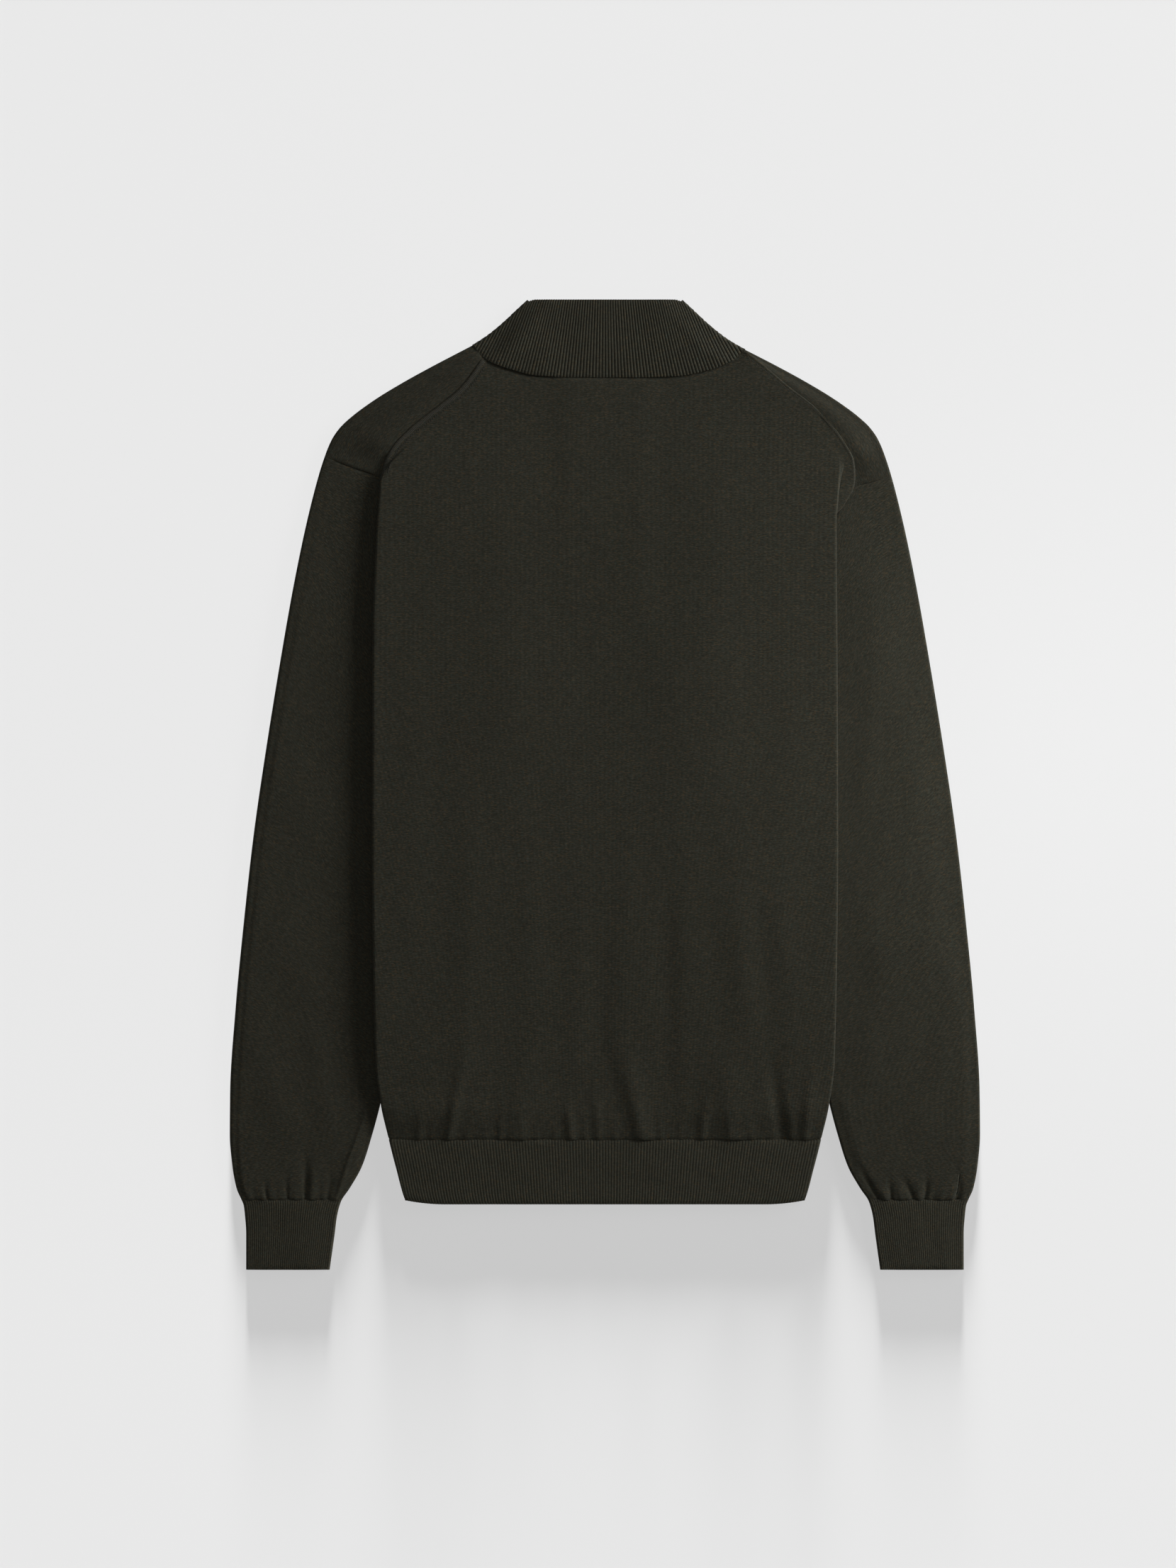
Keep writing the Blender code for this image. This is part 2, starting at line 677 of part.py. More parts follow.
def sleeve(side, surface):
    """A sleeve laid flat, from the armhole to the cuff's seam."""
    shares = (0.0, 0.06, 0.14, 0.24, 0.4, 0.58, 0.76, 0.88, 0.94, 0.975, 1.0)
    bend_end = 0.24
    outer_x, outer_y = ARMHOLE[side][-1]
    next_x, next_y = ARMHOLE[side][-2]
    at_armhole = plan_unit(np.array([outer_x - next_x, outer_y - next_y]))
    top_edge, edge_fractions = armhole_line(side, (outer_x, outer_y) - at_armhole * 2.08)
    below = edge_fractions[1:-1]
    end = CUFF_SEAM + SEAM / 2
    cuff_width = half_width(CUFF_SEAM) - through(SLEEVE_INNER, CUFF_SEAM)
    marks = {0.0, 1.0, *below}
    for centre, _, _, width in CUFF_GATHERS[side]:
        marks |= {(centre + k * width) / cuff_width for k in (-1.0, 0.0, 1.0)}
    across = np.array(sorted(marks))
    ring = np.concatenate([np.zeros(4), across, np.ones(4), below[::-1]])
    edge = np.column_stack([np.interp(ring, edge_fractions, top_edge[:, k]) for k in (0, 1)])
    straight_edge = top_edge[0] + ring[:, None] * (top_edge[-1] - top_edge[0])
    rows = []
    for share in shares:
        outer_at = outer_y - SEAM / 2 + share * (end - outer_y)
        inner_at = UNDERARM + share * (end - UNDERARM)
        outer = np.array([half_width(outer_at), outer_at])
        inner = np.array([through(SLEEVE_INNER, inner_at), inner_at])
        x = outer[0] + across * (inner[0] - outer[0])
        straight = outer[1] + across * (inner[1] - outer[1])
        above = straight - CUFF_SEAM
        shown = ramp((x - body_side(side, np.minimum(straight, 246.0)) - 2.0) / 30.0)
        body_above = ramp((straight + 262.0) / 20.0)
        rounding = np.minimum(across, 1 - across) * (outer[0] - inner[0])
        crown = SLEEVE_CROWN * ramp(rounding / 30.0) * np.maximum(shown, 1 - body_above)
        crown = crown * ramp((outer_y - straight) / 60.0)
        depth = 0.0
        for centre, length, deep, width in CUFF_GATHERS[side]:
            from_outer = (across - centre / cuff_width) * cuff_width
            shape = np.exp(-((from_outer / width) ** 2))
            depth = depth + deep * ramp(1 - above / length) * shape
        bend = max(0.0, 1 - share / bend_end) ** 2
        slant = plan_unit(bend * at_armhole + (1 - bend) * plan_unit(outer - inner))
        row = tube_row(outer, inner, across, SLEEVE_TOP + crown - depth, below, slant)
        row[:, :2] += bend * (edge - straight_edge)
        rows.append(row * np.array([side, 1.0, 1.0]))
    return cloth(f"sleeve_{NAME[side]}", np.array(rows), surface, sign=side, closed=True)


def cuff(side, surface):
    """A ribbed cuff laid flat; its underside rests and stays plain."""
    across = np.linspace(0.0, 1.0, CUFF_RIBS * 2 + 1)
    below = np.linspace(0.0, 1.0, 7)[1:-1]
    start = CUFF_SEAM - SEAM / 2
    rows = []
    for y in (start, start - 8.0, start - 26.0, CUFF_END):
        outer = np.array([half_width(y), y])
        inner = np.array([through(SLEEVE_INNER, y), y])
        rounding = np.minimum(across, 1 - across) * (outer[0] - inner[0])
        top_z = SLEEVE_TOP + 0.5 * ramp(rounding / 20.0)
        row = tube_row(outer, inner, across, top_z, below)
        rows.append(row * np.array([side, 1.0, 1.0]))
    per, raised = ribs(4, CUFF_RIBS, 10)
    name = f"cuff_{NAME[side]}"
    middle = np.array(rows)
    return cloth(name, middle, surface, sign=side, closed=True, per=per, raised=raised[:-1])


def collar(surface):
    """Stand collar laid flat: its ribbed back, both side folds, and its front under it."""
    rows = []
    slit = PLACKET_HALF + SEAM
    shares = np.linspace(-1.0, 1.0, COLLAR_RIBS * 2 + 1)
    for share in (0.0, 0.35, 0.7, 1.0):
        halves = {}
        folds = {}
        for side in (LEFT, RIGHT):
            _, neck_y = NECKLINE[side][-1]
            fold_y = neck_y + SEAM / 2 + share * (COLLAR_TOP - neck_y - SEAM / 2)
            fold = np.array([half_width(fold_y), fold_y])
            towards = plan_unit(np.array([1.0, 0.75]))
            turn = fold_edge(fold, towards, GROUND, SLEEVE_TOP)
            under = np.array([0.0, 0.25, 0.5, 0.75])
            base = np.array([front_neck(side, q) for q in under])
            base[:, 1] += SEAM / 2
            top_y = FRONT_COLLAR_TOP + under**2.2 * (COLLAR_TOP - FRONT_COLLAR_TOP)
            x = slit + under * (turn[0, 0] - slit)
            y = base[:, 1] + share * (top_y - base[:, 1])
            z = GROUND + PLACKET_LIFT * over_placket(x, y, UNDER_REACH)
            halves[side] = np.concatenate([np.column_stack([x, y, z]), turn[:-1]])
            folds[side] = turn[-1]
        back = []
        for u in shares:
            side = LEFT if u < 0 else RIGHT
            neck_x = NECKLINE[side][-1][0] - 2.0
            fold = folds[side]
            x = abs(u) * fold[0]
            base_y = through(NECKLINE[side], abs(u) * neck_x) + SEAM / 2
            y = base_y + share * (COLLAR_TOP - base_y)
            y += (fold[1] - y) * ramp(abs(u) * 12.0 - 11.0)
            inboard = (1 - abs(u)) * fold[0]
            middle_z = 6.15 - 1.6 * ramp((share - 0.2) / 0.8)
            z = SLEEVE_TOP + (middle_z - SLEEVE_TOP) * ramp(inboard / 18.0)
            back.append((math.copysign(x, u), y, z))
        left = halves[LEFT] * np.array([-1.0, 1.0, 1.0])
        right = halves[RIGHT][::-1]
        rows.append(np.concatenate([left, np.array(back), right]))
    per, raised = ribs(8, COLLAR_RIBS, 8)
    return cloth("collar", np.array(rows), surface, per=per, raised=raised)


def placket_band(name, low, surface):
    """One band of the placket, from its lower end up to the collar's upper edge."""
    mesh = bmesh.new()
    bmesh.ops.create_cube(mesh, size=1.0)
    length = FRONT_COLLAR_TOP - PLACKET_END
    centre = (0.0, PLACKET_END + length / 2, low + BAND / 2)
    for vertex in mesh.verts:
        size = (PLACKET_HALF * 2, length, BAND)
        vertex.co = [(c + v * s) * MM for c, v, s in zip(centre, vertex.co, size)]
    return place(name, mesh, surface)


def button(name, y, surface):
    """A flat button with a rounded rim, face down."""
    bpy.ops.mesh.primitive_cylinder_add(
        vertices=24,
        radius=BUTTON_RADIUS * MM,
        depth=BUTTON_THICK * MM,
        location=(0.0, y * MM, BUTTON_THICK / 2 * MM),
    )
    made = bpy.context.object
    made.name = name
    made.data.materials.append(surface)
    rim = made.modifiers.new("rim", "BEVEL")
    rim.width = 0.5 * MM
    rim.limit_method = "ANGLE"
    return made


def main():
    for old in list(bpy.data.objects):
        bpy.data.objects.remove(old)
    jersey = material("jersey", (0.0232, 0.0222, 0.0168), 0.9)
    rib = material("rib", (0.0220, 0.0210, 0.0160), 0.9)
    horn = material("button", (0.0150, 0.0120, 0.0090), 0.35)

    back_panel(jersey)
    front_panel(jersey)
    hem_rib_back(rib)
    hem_rib_front(rib)
    collar(rib)
    for side in (LEFT, RIGHT):
        sleeve(side, jersey)
        cuff(side, rib)
    over = BUTTON_THICK + SEAM
    placket_band("placket_over", over, rib)
    placket_band("placket_under", over + BAND + SEAM, rib)
    for index, y in enumerate(BUTTONS_Y, start=1):
        button(f"button_{index}", y, horn)


main()
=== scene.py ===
"""Button-neck sweater in fine-gauge knit, laid out flat on its front with its back up.

Each cloth piece is a grid of points, placed row by row along the garment, that gets a thin
wall.  Sizes are in millimetres until a mesh is made, except those of the stage.  +Y points
to the collar, +Z up, and -X is the left side as seen from above.
"""

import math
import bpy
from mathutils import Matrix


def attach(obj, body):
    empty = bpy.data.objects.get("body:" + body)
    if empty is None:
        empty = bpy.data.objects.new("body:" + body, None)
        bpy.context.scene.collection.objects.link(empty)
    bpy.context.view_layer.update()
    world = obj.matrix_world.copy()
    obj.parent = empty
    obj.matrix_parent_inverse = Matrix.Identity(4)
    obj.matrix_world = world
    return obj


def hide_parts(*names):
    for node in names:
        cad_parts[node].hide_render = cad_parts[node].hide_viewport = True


bl_info = {
    "name": "Button-Neck Sweater",
    "version": (1, 0, 0),
    "blender": (4, 5, 0),
    "location": "View3D > Sidebar > Sweater",
    "description": "Dresses the solids of a button-neck sweater as fine-gauge knitted cloth",
    "category": "Object",
}

import bpy
import numpy as np
from bpy.props import FloatProperty, FloatVectorProperty, PointerProperty
from bpy.types import Operator, Panel, PropertyGroup

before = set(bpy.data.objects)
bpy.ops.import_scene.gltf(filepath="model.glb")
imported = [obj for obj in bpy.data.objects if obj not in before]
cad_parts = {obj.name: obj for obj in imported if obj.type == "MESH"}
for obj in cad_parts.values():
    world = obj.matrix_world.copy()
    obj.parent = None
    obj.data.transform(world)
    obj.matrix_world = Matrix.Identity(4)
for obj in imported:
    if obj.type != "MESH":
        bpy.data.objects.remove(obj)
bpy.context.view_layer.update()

MM = 0.001
LEFT, RIGHT = -1, 1
NAME = {LEFT: "left", RIGHT: "right"}

# Half of a wall, heights of the middles of the layers, and how far they are lifted.
WALL_HALF = 0.65
GROUND = 0.9
BODY_TOP = 5.4
SLEEVE_TOP = 3.4
SLEEVE_CROWN = 1.0
LEFT_RISE = 2.2
SLEEVE_LIFT = 4.9
BODY_LIFT = 3.85
LIFT_WIDTH = 70.0
LIFT_FALL = 38.0
HEM_FALL = 32.0
HEM_DROP = 0.8

# Loft of the upper layer, and the rims beside its folded sides: x, half_width, height.
LOFT = 1.4
SHOULDER_LINE = 300.0
RIMS = ((-190.0, 26.0, 1.4), (186.0, 22.0, 0.7))
RIM_FROM, RIM_TO = -250.0, 220.0
RIM_FADE = 80.0

# Seam under the left arm, where it shows beside the hem: y, x.
UNDERARM_SEAM = (
    (-240.0, 187.0),
    (-252.5, 188.8),
    (-269.6, 192.8),
    (-286.7, 198.5),
    (-301.0, 204.2),
    (-318.0, 209.4),
    (-331.2, 213.4),
)

# Places along the garment: y of its seams and ends, and sizes of what lies beside them.
HEM_SEAM = -285.0
HEM_END = -336.9
HEM_HEIGHT = 52.0
HEM_ROUNDING = 3.2
CUFF_SEAM = -333.5
CUFF_END = -389.6
SLEEVE_SHOWS_FROM = 246.0
SLEEVE_CORNER = 2.08
SLEEVE_BEND = 0.24
COLLAR_TOP = 389.6
COLLAR_HEIGHT = 62.0
UNDERARM = 80.0
SHOULDER_FROM = 244.0

# Gap at a seam, below 0 where the pieces overlap, gap of pieces that only lie side by side,
# how far a piece is tucked under its neighbour, and the front under the collar's fold.
SEAM = -0.3
GAP = 0.2
TUCK = 1.2
NECK_INSET = 0.5

# Power with which the rows of a shoulder strip let go of the seams at its ends.
SEAM_HOLD = 24

# Placket, buttons, and the threads of both.
PLACKET_HALF = 15.0
PLACKET_END = 150.0
SLIT = PLACKET_HALF + GAP
FRONT_NECK = 275.0
FRONT_COLLAR_TOP = 336.0
NECK_CURVE = 2.2
PLACKET_LIFT = 2.15
PLACKET_SWELL = 0.75
PLACKET_FALL = 22.0
UNDER_REACH = 38.0
OVER_REACH = 48.0
BUTTONS_Y = (322.0, 270.0, 222.0, 174.0)
BUTTON_RADIUS = 5.75
BUTTON_THICK = 2.0
HOLE_RADIUS = 0.8
HOLE_OUT = 1.45
BUTTONHOLE_HALF = 6.5
HOLE_STITCH = 0.5
HOLE_STITCH_WAVE = 0.08
HOLE_STITCH_TALL = 1.47
RIM_ROUNDING = 0.55
RIM_WIDTH = 0.6
FACE_DEPTH = 0.5
THREAD_RADIUS = 0.3
BAND_PITCH = 2.0
OVER_Z = 2.9
UNDER_Z = 4.4

# Pitches of the stitches and ribs, and the ribs in half of the collar.
WALE = 1.34
COURSE = 1.02
HEM_PITCH = 2.32
CUFF_PITCH = 1.72
COLLAR_PITCH = 2.6
COLLAR_TOP_PITCH = 2.0
COLLAR_HALF = 88
PER_RIB = 6

# How high the ribs are, as shares of the height in the panel.
HEM_RIB = 0.42
CUFF_RIB = 0.33
COLLAR_RIB = 1.25
BAND_RIB = 0.4

# Points of the grids: along a folded edge, round a fold, and across half of the front.
EDGE_STEPS = 3
EDGE = 6 * EDGE_STEPS
TURN_STEPS = 9
BODY_COLUMNS = 25
BEYOND_CORNER = (0.2, 0.4, 0.6, 0.8)
FOLD_COLUMN = BODY_COLUMNS + len(BEYOND_CORNER) + TURN_STEPS // 2

# Outline of the whole garment, the same on both sides: y, half_width.
OUTLINE = (
    (389.6, 62.5),
    (382.5, 70.4),
    (373.4, 80.1),
    (364.2, 90.9),
    (355.1, 104.0),
    (346.0, 120.3),
    (336.9, 137.4),
    (323.2, 162.2),
    (309.5, 184.7),
    (295.8, 203.5),
    (286.7, 213.2),
    (277.6, 219.5),
    (263.9, 225.2),
    (245.7, 230.9),
    (209.2, 240.0),
    (163.6, 249.4),
    (118.0, 257.6),
    (26.8, 272.5),
    (-41.6, 282.4),
    (-110.0, 290.1),
    (-178.4, 296.7),
    (-246.8, 301.2),
    (-281.0, 301.5),
    (-306.0, 299.5),
    (-324.3, 296.1),
    (-333.5, 292.1),
    (-338.0, 290.4),
    (-347.1, 289.3),
    (-360.8, 288.4),
    (-389.6, 288.4),
)

# Inner edge of a sleeve and its cuff, under the body down to y -260: y, x.
SLEEVE_INNER = (
    (80.0, 98.0),
    (0.0, 118.0),
    (-100.0, 142.0),
    (-180.0, 163.0),
    (-260.0, 181.3),
    (-281.0, 187.0),
    (-306.0, 195.0),
    (-324.3, 205.2),
    (-333.5, 211.5),
    (-338.0, 213.2),
    (-347.0, 215.4),
    (-361.0, 217.2),
    (-389.6, 221.2),
)

# Folded sides of the body and hem: y, left, right.
BODY_SIDE = (
    (272.0, 179.0, 188.1),
    (246.0, 180.1, 187.8),
    (209.0, 183.0, 185.8),
    (118.0, 186.4, 186.4),
    (-53.0, 187.0, 187.0),
    (-150.0, 186.0, 186.0),
    (-224.0, 184.1, 184.1),
    (-258.0, 179.6, 179.6),
    (-285.0, 173.6, 173.6),
    (-310.7, 167.6, 167.6),
    (-329.0, 163.3, 163.3),
    (-336.9, 160.6, 160.6),
)

# Seam at the side of the back, up the armhole where it shows and over the shoulder: y, x.
BACK_SEAM = {
    LEFT: (
        (246.2, 180.3),
        (260.5, 176.3),
        (273.6, 168.3),
        (286.7, 155.2),
        (305.0, 131.8),
        (318.1, 115.9),
        (342.6, 97.6),
    ),
    RIGHT: (
        (217.7, 187.9),
        (225.7, 192.6),
        (234.8, 198.2),
        (240.0, 200.9),
        (248.0, 201.0),
        (259.4, 199.9),
        (272.5, 193.1),
        (285.6, 183.9),
        (302.7, 167.4),
        (316.9, 148.6),
        (334.0, 128.1),
        (347.1, 111.5),
    ),
}

# Seam of the collar on the back, from the middle to the fold: x, y.
NECKLINE = {
    LEFT: (
        (0.0, 327.2),
        (27.0, 327.4),
        (55.0, 328.8),
        (77.0, 334.0),
        (90.0, 338.6),
        (97.6, 342.6),
        (103.0, 348.5),
        (106.5, 353.5),
    ),
    RIGHT: (
        (0.0, 327.2),
        (28.0, 327.2),
        (57.0, 328.1),
        (81.9, 332.9),
        (101.9, 339.7),
        (108.5, 344.0),
        (111.5, 347.1),
        (113.5, 350.0),
    ),
}

# Upper edge of a sleeve, from its hidden inner corner to the outline: x, y.
ARMHOLE = {
    LEFT: (
        (98.0, 80.0),
        (132.0, 135.0),
        (162.0, 185.0),
        (174.0, 220.0),
        (180.3, 246.2),
        (202.0, 254.8),
        (224.6, 263.2),
    ),
    RIGHT: (
        (98.0, 80.0),
        (132.0, 135.0),
        (162.0, 178.0),
        (187.9, 217.7),
        (192.6, 225.7),
        (198.2, 234.8),
        (201.0, 239.6),
        (214.3, 243.4),
        (230.2, 248.4),
    ),
}
ARMHOLE_CORNER = {LEFT: (180.3, 246.2), RIGHT: (201.0, 239.6)}
ARMHOLE_LOWEST_X = 187.9

# Rows of the front beside its slit, up to the last one across the body.
SLIT_ROWS = (158.0, 168.0, 178.0, 187.0, 197.0, 206.0)
LAST_BODY_ROW = {LEFT: 226.0, RIGHT: 217.7}
BESIDE_LAP = 2.7
UNDER_ARM_Z = 2.0

# How far the back's sides reach round and under the body: y, left, right.
LAP = (
    (178.0, 26.0, 26.0),
    (206.0, 8.0, 8.0),
    (217.7, 6.0, 2.0),
    (234.8, 3.0, 2.0),
    (244.0, 1.5, 2.0),
)

# Where the body, lifted by a sleeve, has come down to the ground again: x, y.
LIFT_END = ((92.0, 150.0), (132.0, 209.0), (171.0, 268.0), (188.0, 286.0))

# The back's edge: how round its fold is, and where it opens out and then lies flat.
ROUNDED = 0.13
OPENS_FROM = 214.0
OPENS_OVER = 7.0
OPENED_OUT = 0.9
OPENED_BULGE = 0.8
OPENED_TURN_Z = 4.4
OPENED_LAST_Z = 3.5
FLAT_FROM = {LEFT: SHOULDER_FROM, RIGHT: 236.0}
FLAT_AT = 276.0
FLAT_EDGE = (14.0, 11.8, 9.6, 7.4, 5.2, 2.6, 0.0)

# The back's swell above the hem, and the roll along its right fold.
SWELL_HEIGHT = 0.7
SWELL_ABOVE = 18.0
SWELL_WIDTH = 16.0
ROLL_HEIGHT = 0.15
ROLL_WIDTH = 7.0

# Height of the back's cloth beside its shoulder seams: width and height of the band.
SHOULDER_BANDS = {LEFT: (4.2, 0.32), RIGHT: (1.8, 0.25)}

# Dips of the cloth toward its seams and ends: depth, half_width.
DIPS = {
    "back_hem": (0.7, 1.1),
    "neck": (1.9, 2.4),
    "sleeve": (0.6, 1.1),
    "rib_seam": (0.5, 1.1),
    "hem_end": (0.7, 1.6),
    "cuff_end": (0.6, 1.6),
    "collar_seam": (0.45, 0.9),
    "collar_top": (0.5, 1.6),
    "band_edge": (0.12, 1.2),
}

# Small unevenness of the cloth: height, scale of x, scale of y, seed, wavelength.
UNEVEN = {
    "back": (0.12, 1.0, 0.55, 11, 60.0),
    "back_hem": (0.05, 1.0, 0.3, 12, 14.0),
    "hem": (0.12, 1.0, 1.0, 5, 40.0),
    "sleeve": (0.10, 1.4, 0.6, 23, 50.0),
    "cuff": (0.15, 1.0, 1.0, 31, 45.0),
    "shoulder": (0.10, 1.0, 1.0, 41, 40.0),
    "collar": (0.12, 1.0, 1.0, 51, 36.0),
}

# Where the collar's seam turns toward its side folds, and the way those face.
NECK_TURN_FROM = 86.0
COLLAR_TURN = np.array([1.0, 0.75])

# Height of the middle of the collar's back at its seam, and how far it falls to the top.
COLLAR_MIDDLE = 6.15
COLLAR_FALL = 1.6

# About the distance from the armhole to the neck, and from the collar's seam to its top.
SHOULDER_REACH = 90.0
COLLAR_REACH = 60.0

# Gathers above the hem's seam: x at the seam, x at the top, length, half_width at the seam,
# half_width at the top, height.
HEM_GATHERS = (
    (-149.0, -147.0, 38.0, 3.4, 5.0, 0.7),
    (-139.0, -138.0, 18.0, 2.2, 2.6, 0.3),
    (-125.5, -107.9, 98.0, 3.4, 7.0, 1.25),
    (-112.0, -108.0, 20.0, 2.4, 3.0, 0.35),
    (-97.0, -96.0, 22.0, 2.2, 2.8, 0.3),
    (-84.0, -82.0, 34.0, 2.6, 4.0, 0.55),
    (-70.0, -68.0, 78.0, 9.0, 13.0, 1.1),
    (-66.0, -65.5, 20.0, 2.0, 2.6, 0.35),
    (-56.0, -56.0, 16.0, 2.2, 2.6, 0.3),
    (-39.5, -41.0, 22.0, 2.4, 3.2, 0.35),
    (-27.0, -31.5, 44.0, 3.2, 4.6, 1.15),
    (-16.0, -17.0, 20.0, 2.2, 2.6, 0.35),
    (-5.0, -10.0, 60.0, 3.4, 5.5, 0.8),
    (8.0, 6.0, 26.0, 2.4, 3.0, 0.4),
    (30.0, 6.0, 112.0, 6.5, 12.0, 1.9),
    (37.0, 37.0, 20.0, 2.2, 2.8, 0.4),
    (45.0, 44.0, 28.0, 2.6, 3.4, 0.45),
    (61.0, 60.0, 24.0, 2.6, 3.4, 0.4),
    (77.5, 84.0, 60.0, 3.4, 6.5, 0.85),
    (103.0, 88.0, 105.0, 11.0, 16.0, 1.5),
    (100.0, 99.0, 30.0, 2.4, 3.4, 0.45),
    (118.0, 113.0, 26.0, 2.4, 3.2, 0.35),
    (142.5, 130.0, 92.0, 4.2, 7.5, -1.6),
    (151.0, 147.0, 44.0, 2.8, 4.0, 0.5),
    (160.5, 167.0, 78.0, 3.6, 5.5, 1.0),
)

# Gathers above the cuffs, measured in from the sleeve's outer edge at the width of the
# cuff's seam: at the seam, at the top, length, half_width at the seam and top, height.
CUFF_GATHERS = {
    LEFT: (
        (10.0, 11.0, 14.0, 1.8, 2.4, -0.35),
        (20.1, 21.2, 19.0, 1.5, 1.9, -0.95),
        (16.5, 17.5, 15.0, 1.8, 2.2, 0.3),
        (28.5, 28.0, 14.0, 1.8, 2.2, -0.3),
        (37.4, 34.0, 28.0, 1.7, 2.6, -0.8),
        (44.0, 41.0, 16.0, 1.8, 2.2, 0.25),
        (52.6, 42.5, 50.0, 2.1, 3.6, -1.5),
        (57.5, 50.0, 38.0, 2.6, 4.2, 0.55),
        (64.0, 58.0, 18.0, 1.8, 2.2, -0.35),
        (70.8, 60.0, 34.0, 1.9, 3.4, -0.8),
    ),
    RIGHT: (
        (1.5, 1.5, 18.0, 2.6, 4.0, 1.2),
        (8.6, 12.5, 30.0, 2.3, 4.0, -1.5),
        (22.0, 20.0, 18.0, 2.2, 2.8, 0.4),
        (28.5, 27.0, 16.0, 1.8, 2.2, -0.35),
        (35.0, 32.0, 26.0, 1.8, 2.8, -1.1),
        (40.0, 39.0, 22.0, 1.9, 2.8, 0.5),
        (44.8, 51.0, 25.0, 1.9, 3.4, -1.35),
        (55.0, 54.0, 20.0, 2.4, 3.0, 0.45),
        (63.2, 57.0, 24.0, 1.6, 2.6, -1.05),
        (68.0, 66.0, 20.0, 1.8, 2.4, 0.4),
        (73.6, 75.0, 34.0, 1.9, 3.0, -1.4),
    ),
}

# Long soft folds of the back: x and y of the top, x and y of the bottom, half_width, height.
BACK_FOLDS = (
    (-108.0, -30.0, -112.0, -255.0, 12.0, 0.5),
    (-58.0, -40.0, -60.0, -255.0, 11.0, 0.4),
    (-20.0, -90.0, -24.0, -250.0, 9.0, 0.35),
    (-2.0, -150.0, -4.0, -225.0, 10.0, -0.5),
    (18.0, -60.0, 12.0, -190.0, 12.0, 0.45),
    (50.0, -80.0, 49.0, -245.0, 9.0, -0.45),
    (62.0, -85.0, 64.0, -250.0, 9.0, 0.35),
    (87.0, -100.0, 92.0, -220.0, 9.0, -0.25),
    (106.0, -70.0, 116.0, -215.0, 10.0, 0.4),
    (122.0, -90.0, 130.0, -200.0, 9.0, -0.35),
    (140.0, -60.0, 150.0, -225.0, 11.0, 0.35),
    (-150.0, 160.0, -158.0, -140.0, 16.0, 0.55),
    (150.0, 160.0, 158.0, -60.0, 16.0, 0.5),
    (-80.0, 120.0, -70.0, -40.0, 30.0, 0.5),
    (60.0, 150.0, 75.0, 0.0, 32.0, 0.5),
    (-30.0, 230.0, 40.0, 190.0, 26.0, 0.35),
)

# Broad creases of the sleeves, measured in from the outer edge: across and y of both ends,
# half_width, height.
SLEEVE_FOLDS = {
    LEFT: (
        (20.0, 150.0, 55.0, 60.0, 14.0, 0.5),
        (15.0, 20.0, 60.0, -60.0, 16.0, 0.5),
        (20.0, -120.0, 70.0, -180.0, 16.0, 0.5),
        (15.0, -200.0, 50.0, -290.0, 12.0, 0.6),
        (60.0, -190.0, 85.0, -290.0, 10.0, 0.6),
    ),
    RIGHT: (
        (20.0, 170.0, 50.0, 60.0, 14.0, 0.6),
        (15.0, 20.0, 55.0, -80.0, 18.0, 0.6),
        (10.0, -130.0, 80.0, -150.0, 24.0, 1.0),
        (20.0, -210.0, 60.0, -280.0, 12.0, 0.6),
    ),
}

# Colours that the panel leaves as they are, and how high a stitch stands out in the light.
WARM_FIBRE = (0.080, 0.054, 0.024)
COOL_FIBRE = (0.030, 0.048, 0.040)
THREAD = (0.020, 0.019, 0.014)
HORN = ((0.010, 0.008, 0.006), (0.034, 0.024, 0.015))
STITCH_RELIEF = 0.25

# Height from which a ray looks down for the place of a stitch on the back.
LOOK_FROM = 50.0

# Stitches on the back's shoulder seams: name, side, how far in from the seam, pitch, y from
# and to, size (length, width, height), how deep they sink in, whether they cross the seam.
SHOULDER_STITCHES = (
    ("shoulder_stitches_left", LEFT, 1.6, 1.2, 250.0, 340.5, (3.6, 0.8, 0.6), 0.12, True),
    ("shoulder_marks_left", LEFT, 4.9, 2.1, 252.0, 338.0, (2.2, 0.8, 1.0), 0.2, False),
    ("shoulder_stitches_right", RIGHT, 0.9, 1.34, 241.0, 344.0, (1.6, 0.9, 0.6), 0.18, True),
)

# The row under the collar: half its length, pitch, y, size and how deep they sink in.
NECK_STITCHES = (30.0, 2.1, 323.0, (1.5, 0.7, 0.5), 0.18)

# The stage, in metres: each light's width and depth, or none for a spot, its place and the
# place that it points at.
LIGHTS = (
    ("key", (1.9, 0.8), (2.6, 1.2, 0.70), (0.0, 0.0, 0.0)),
    ("fill", (2.0, 2.0), (-0.4, 1.2, 3.4), (0.0, 0.0, 0.0)),
    ("pool", None, (1.3, 0.1, 1.9), (0.40, 0.04, 0.0)),
)
SPOT_ANGLE = 13.5
SPOT_BLEND = 0.8
SPOT_RADIUS = 0.2
SUN_PLACE = (0.0, 3.0, 0.3)
SUN_TILT = -88.05
SUN_WIDTH = 5.8
FLOOR_SIZE = 16.0
CAMERA_X, CAMERA_Y = -0.0136, 0.0006
LENS = 85.0
SENSOR = 36.0


def number(name, description, default, low=0.0, high=1000.0, **kind):
    """A number of the panel."""
    return FloatProperty(
        name=name, description=description, default=default, min=low, max=high, **kind
    )


def colour(name, description, default):
    """A colour of the panel."""
    return FloatVectorProperty(
        name=name,
        description=description,
        default=default,
        subtype="COLOR",
        size=3,
        min=0.0,
        max=1.0,
    )


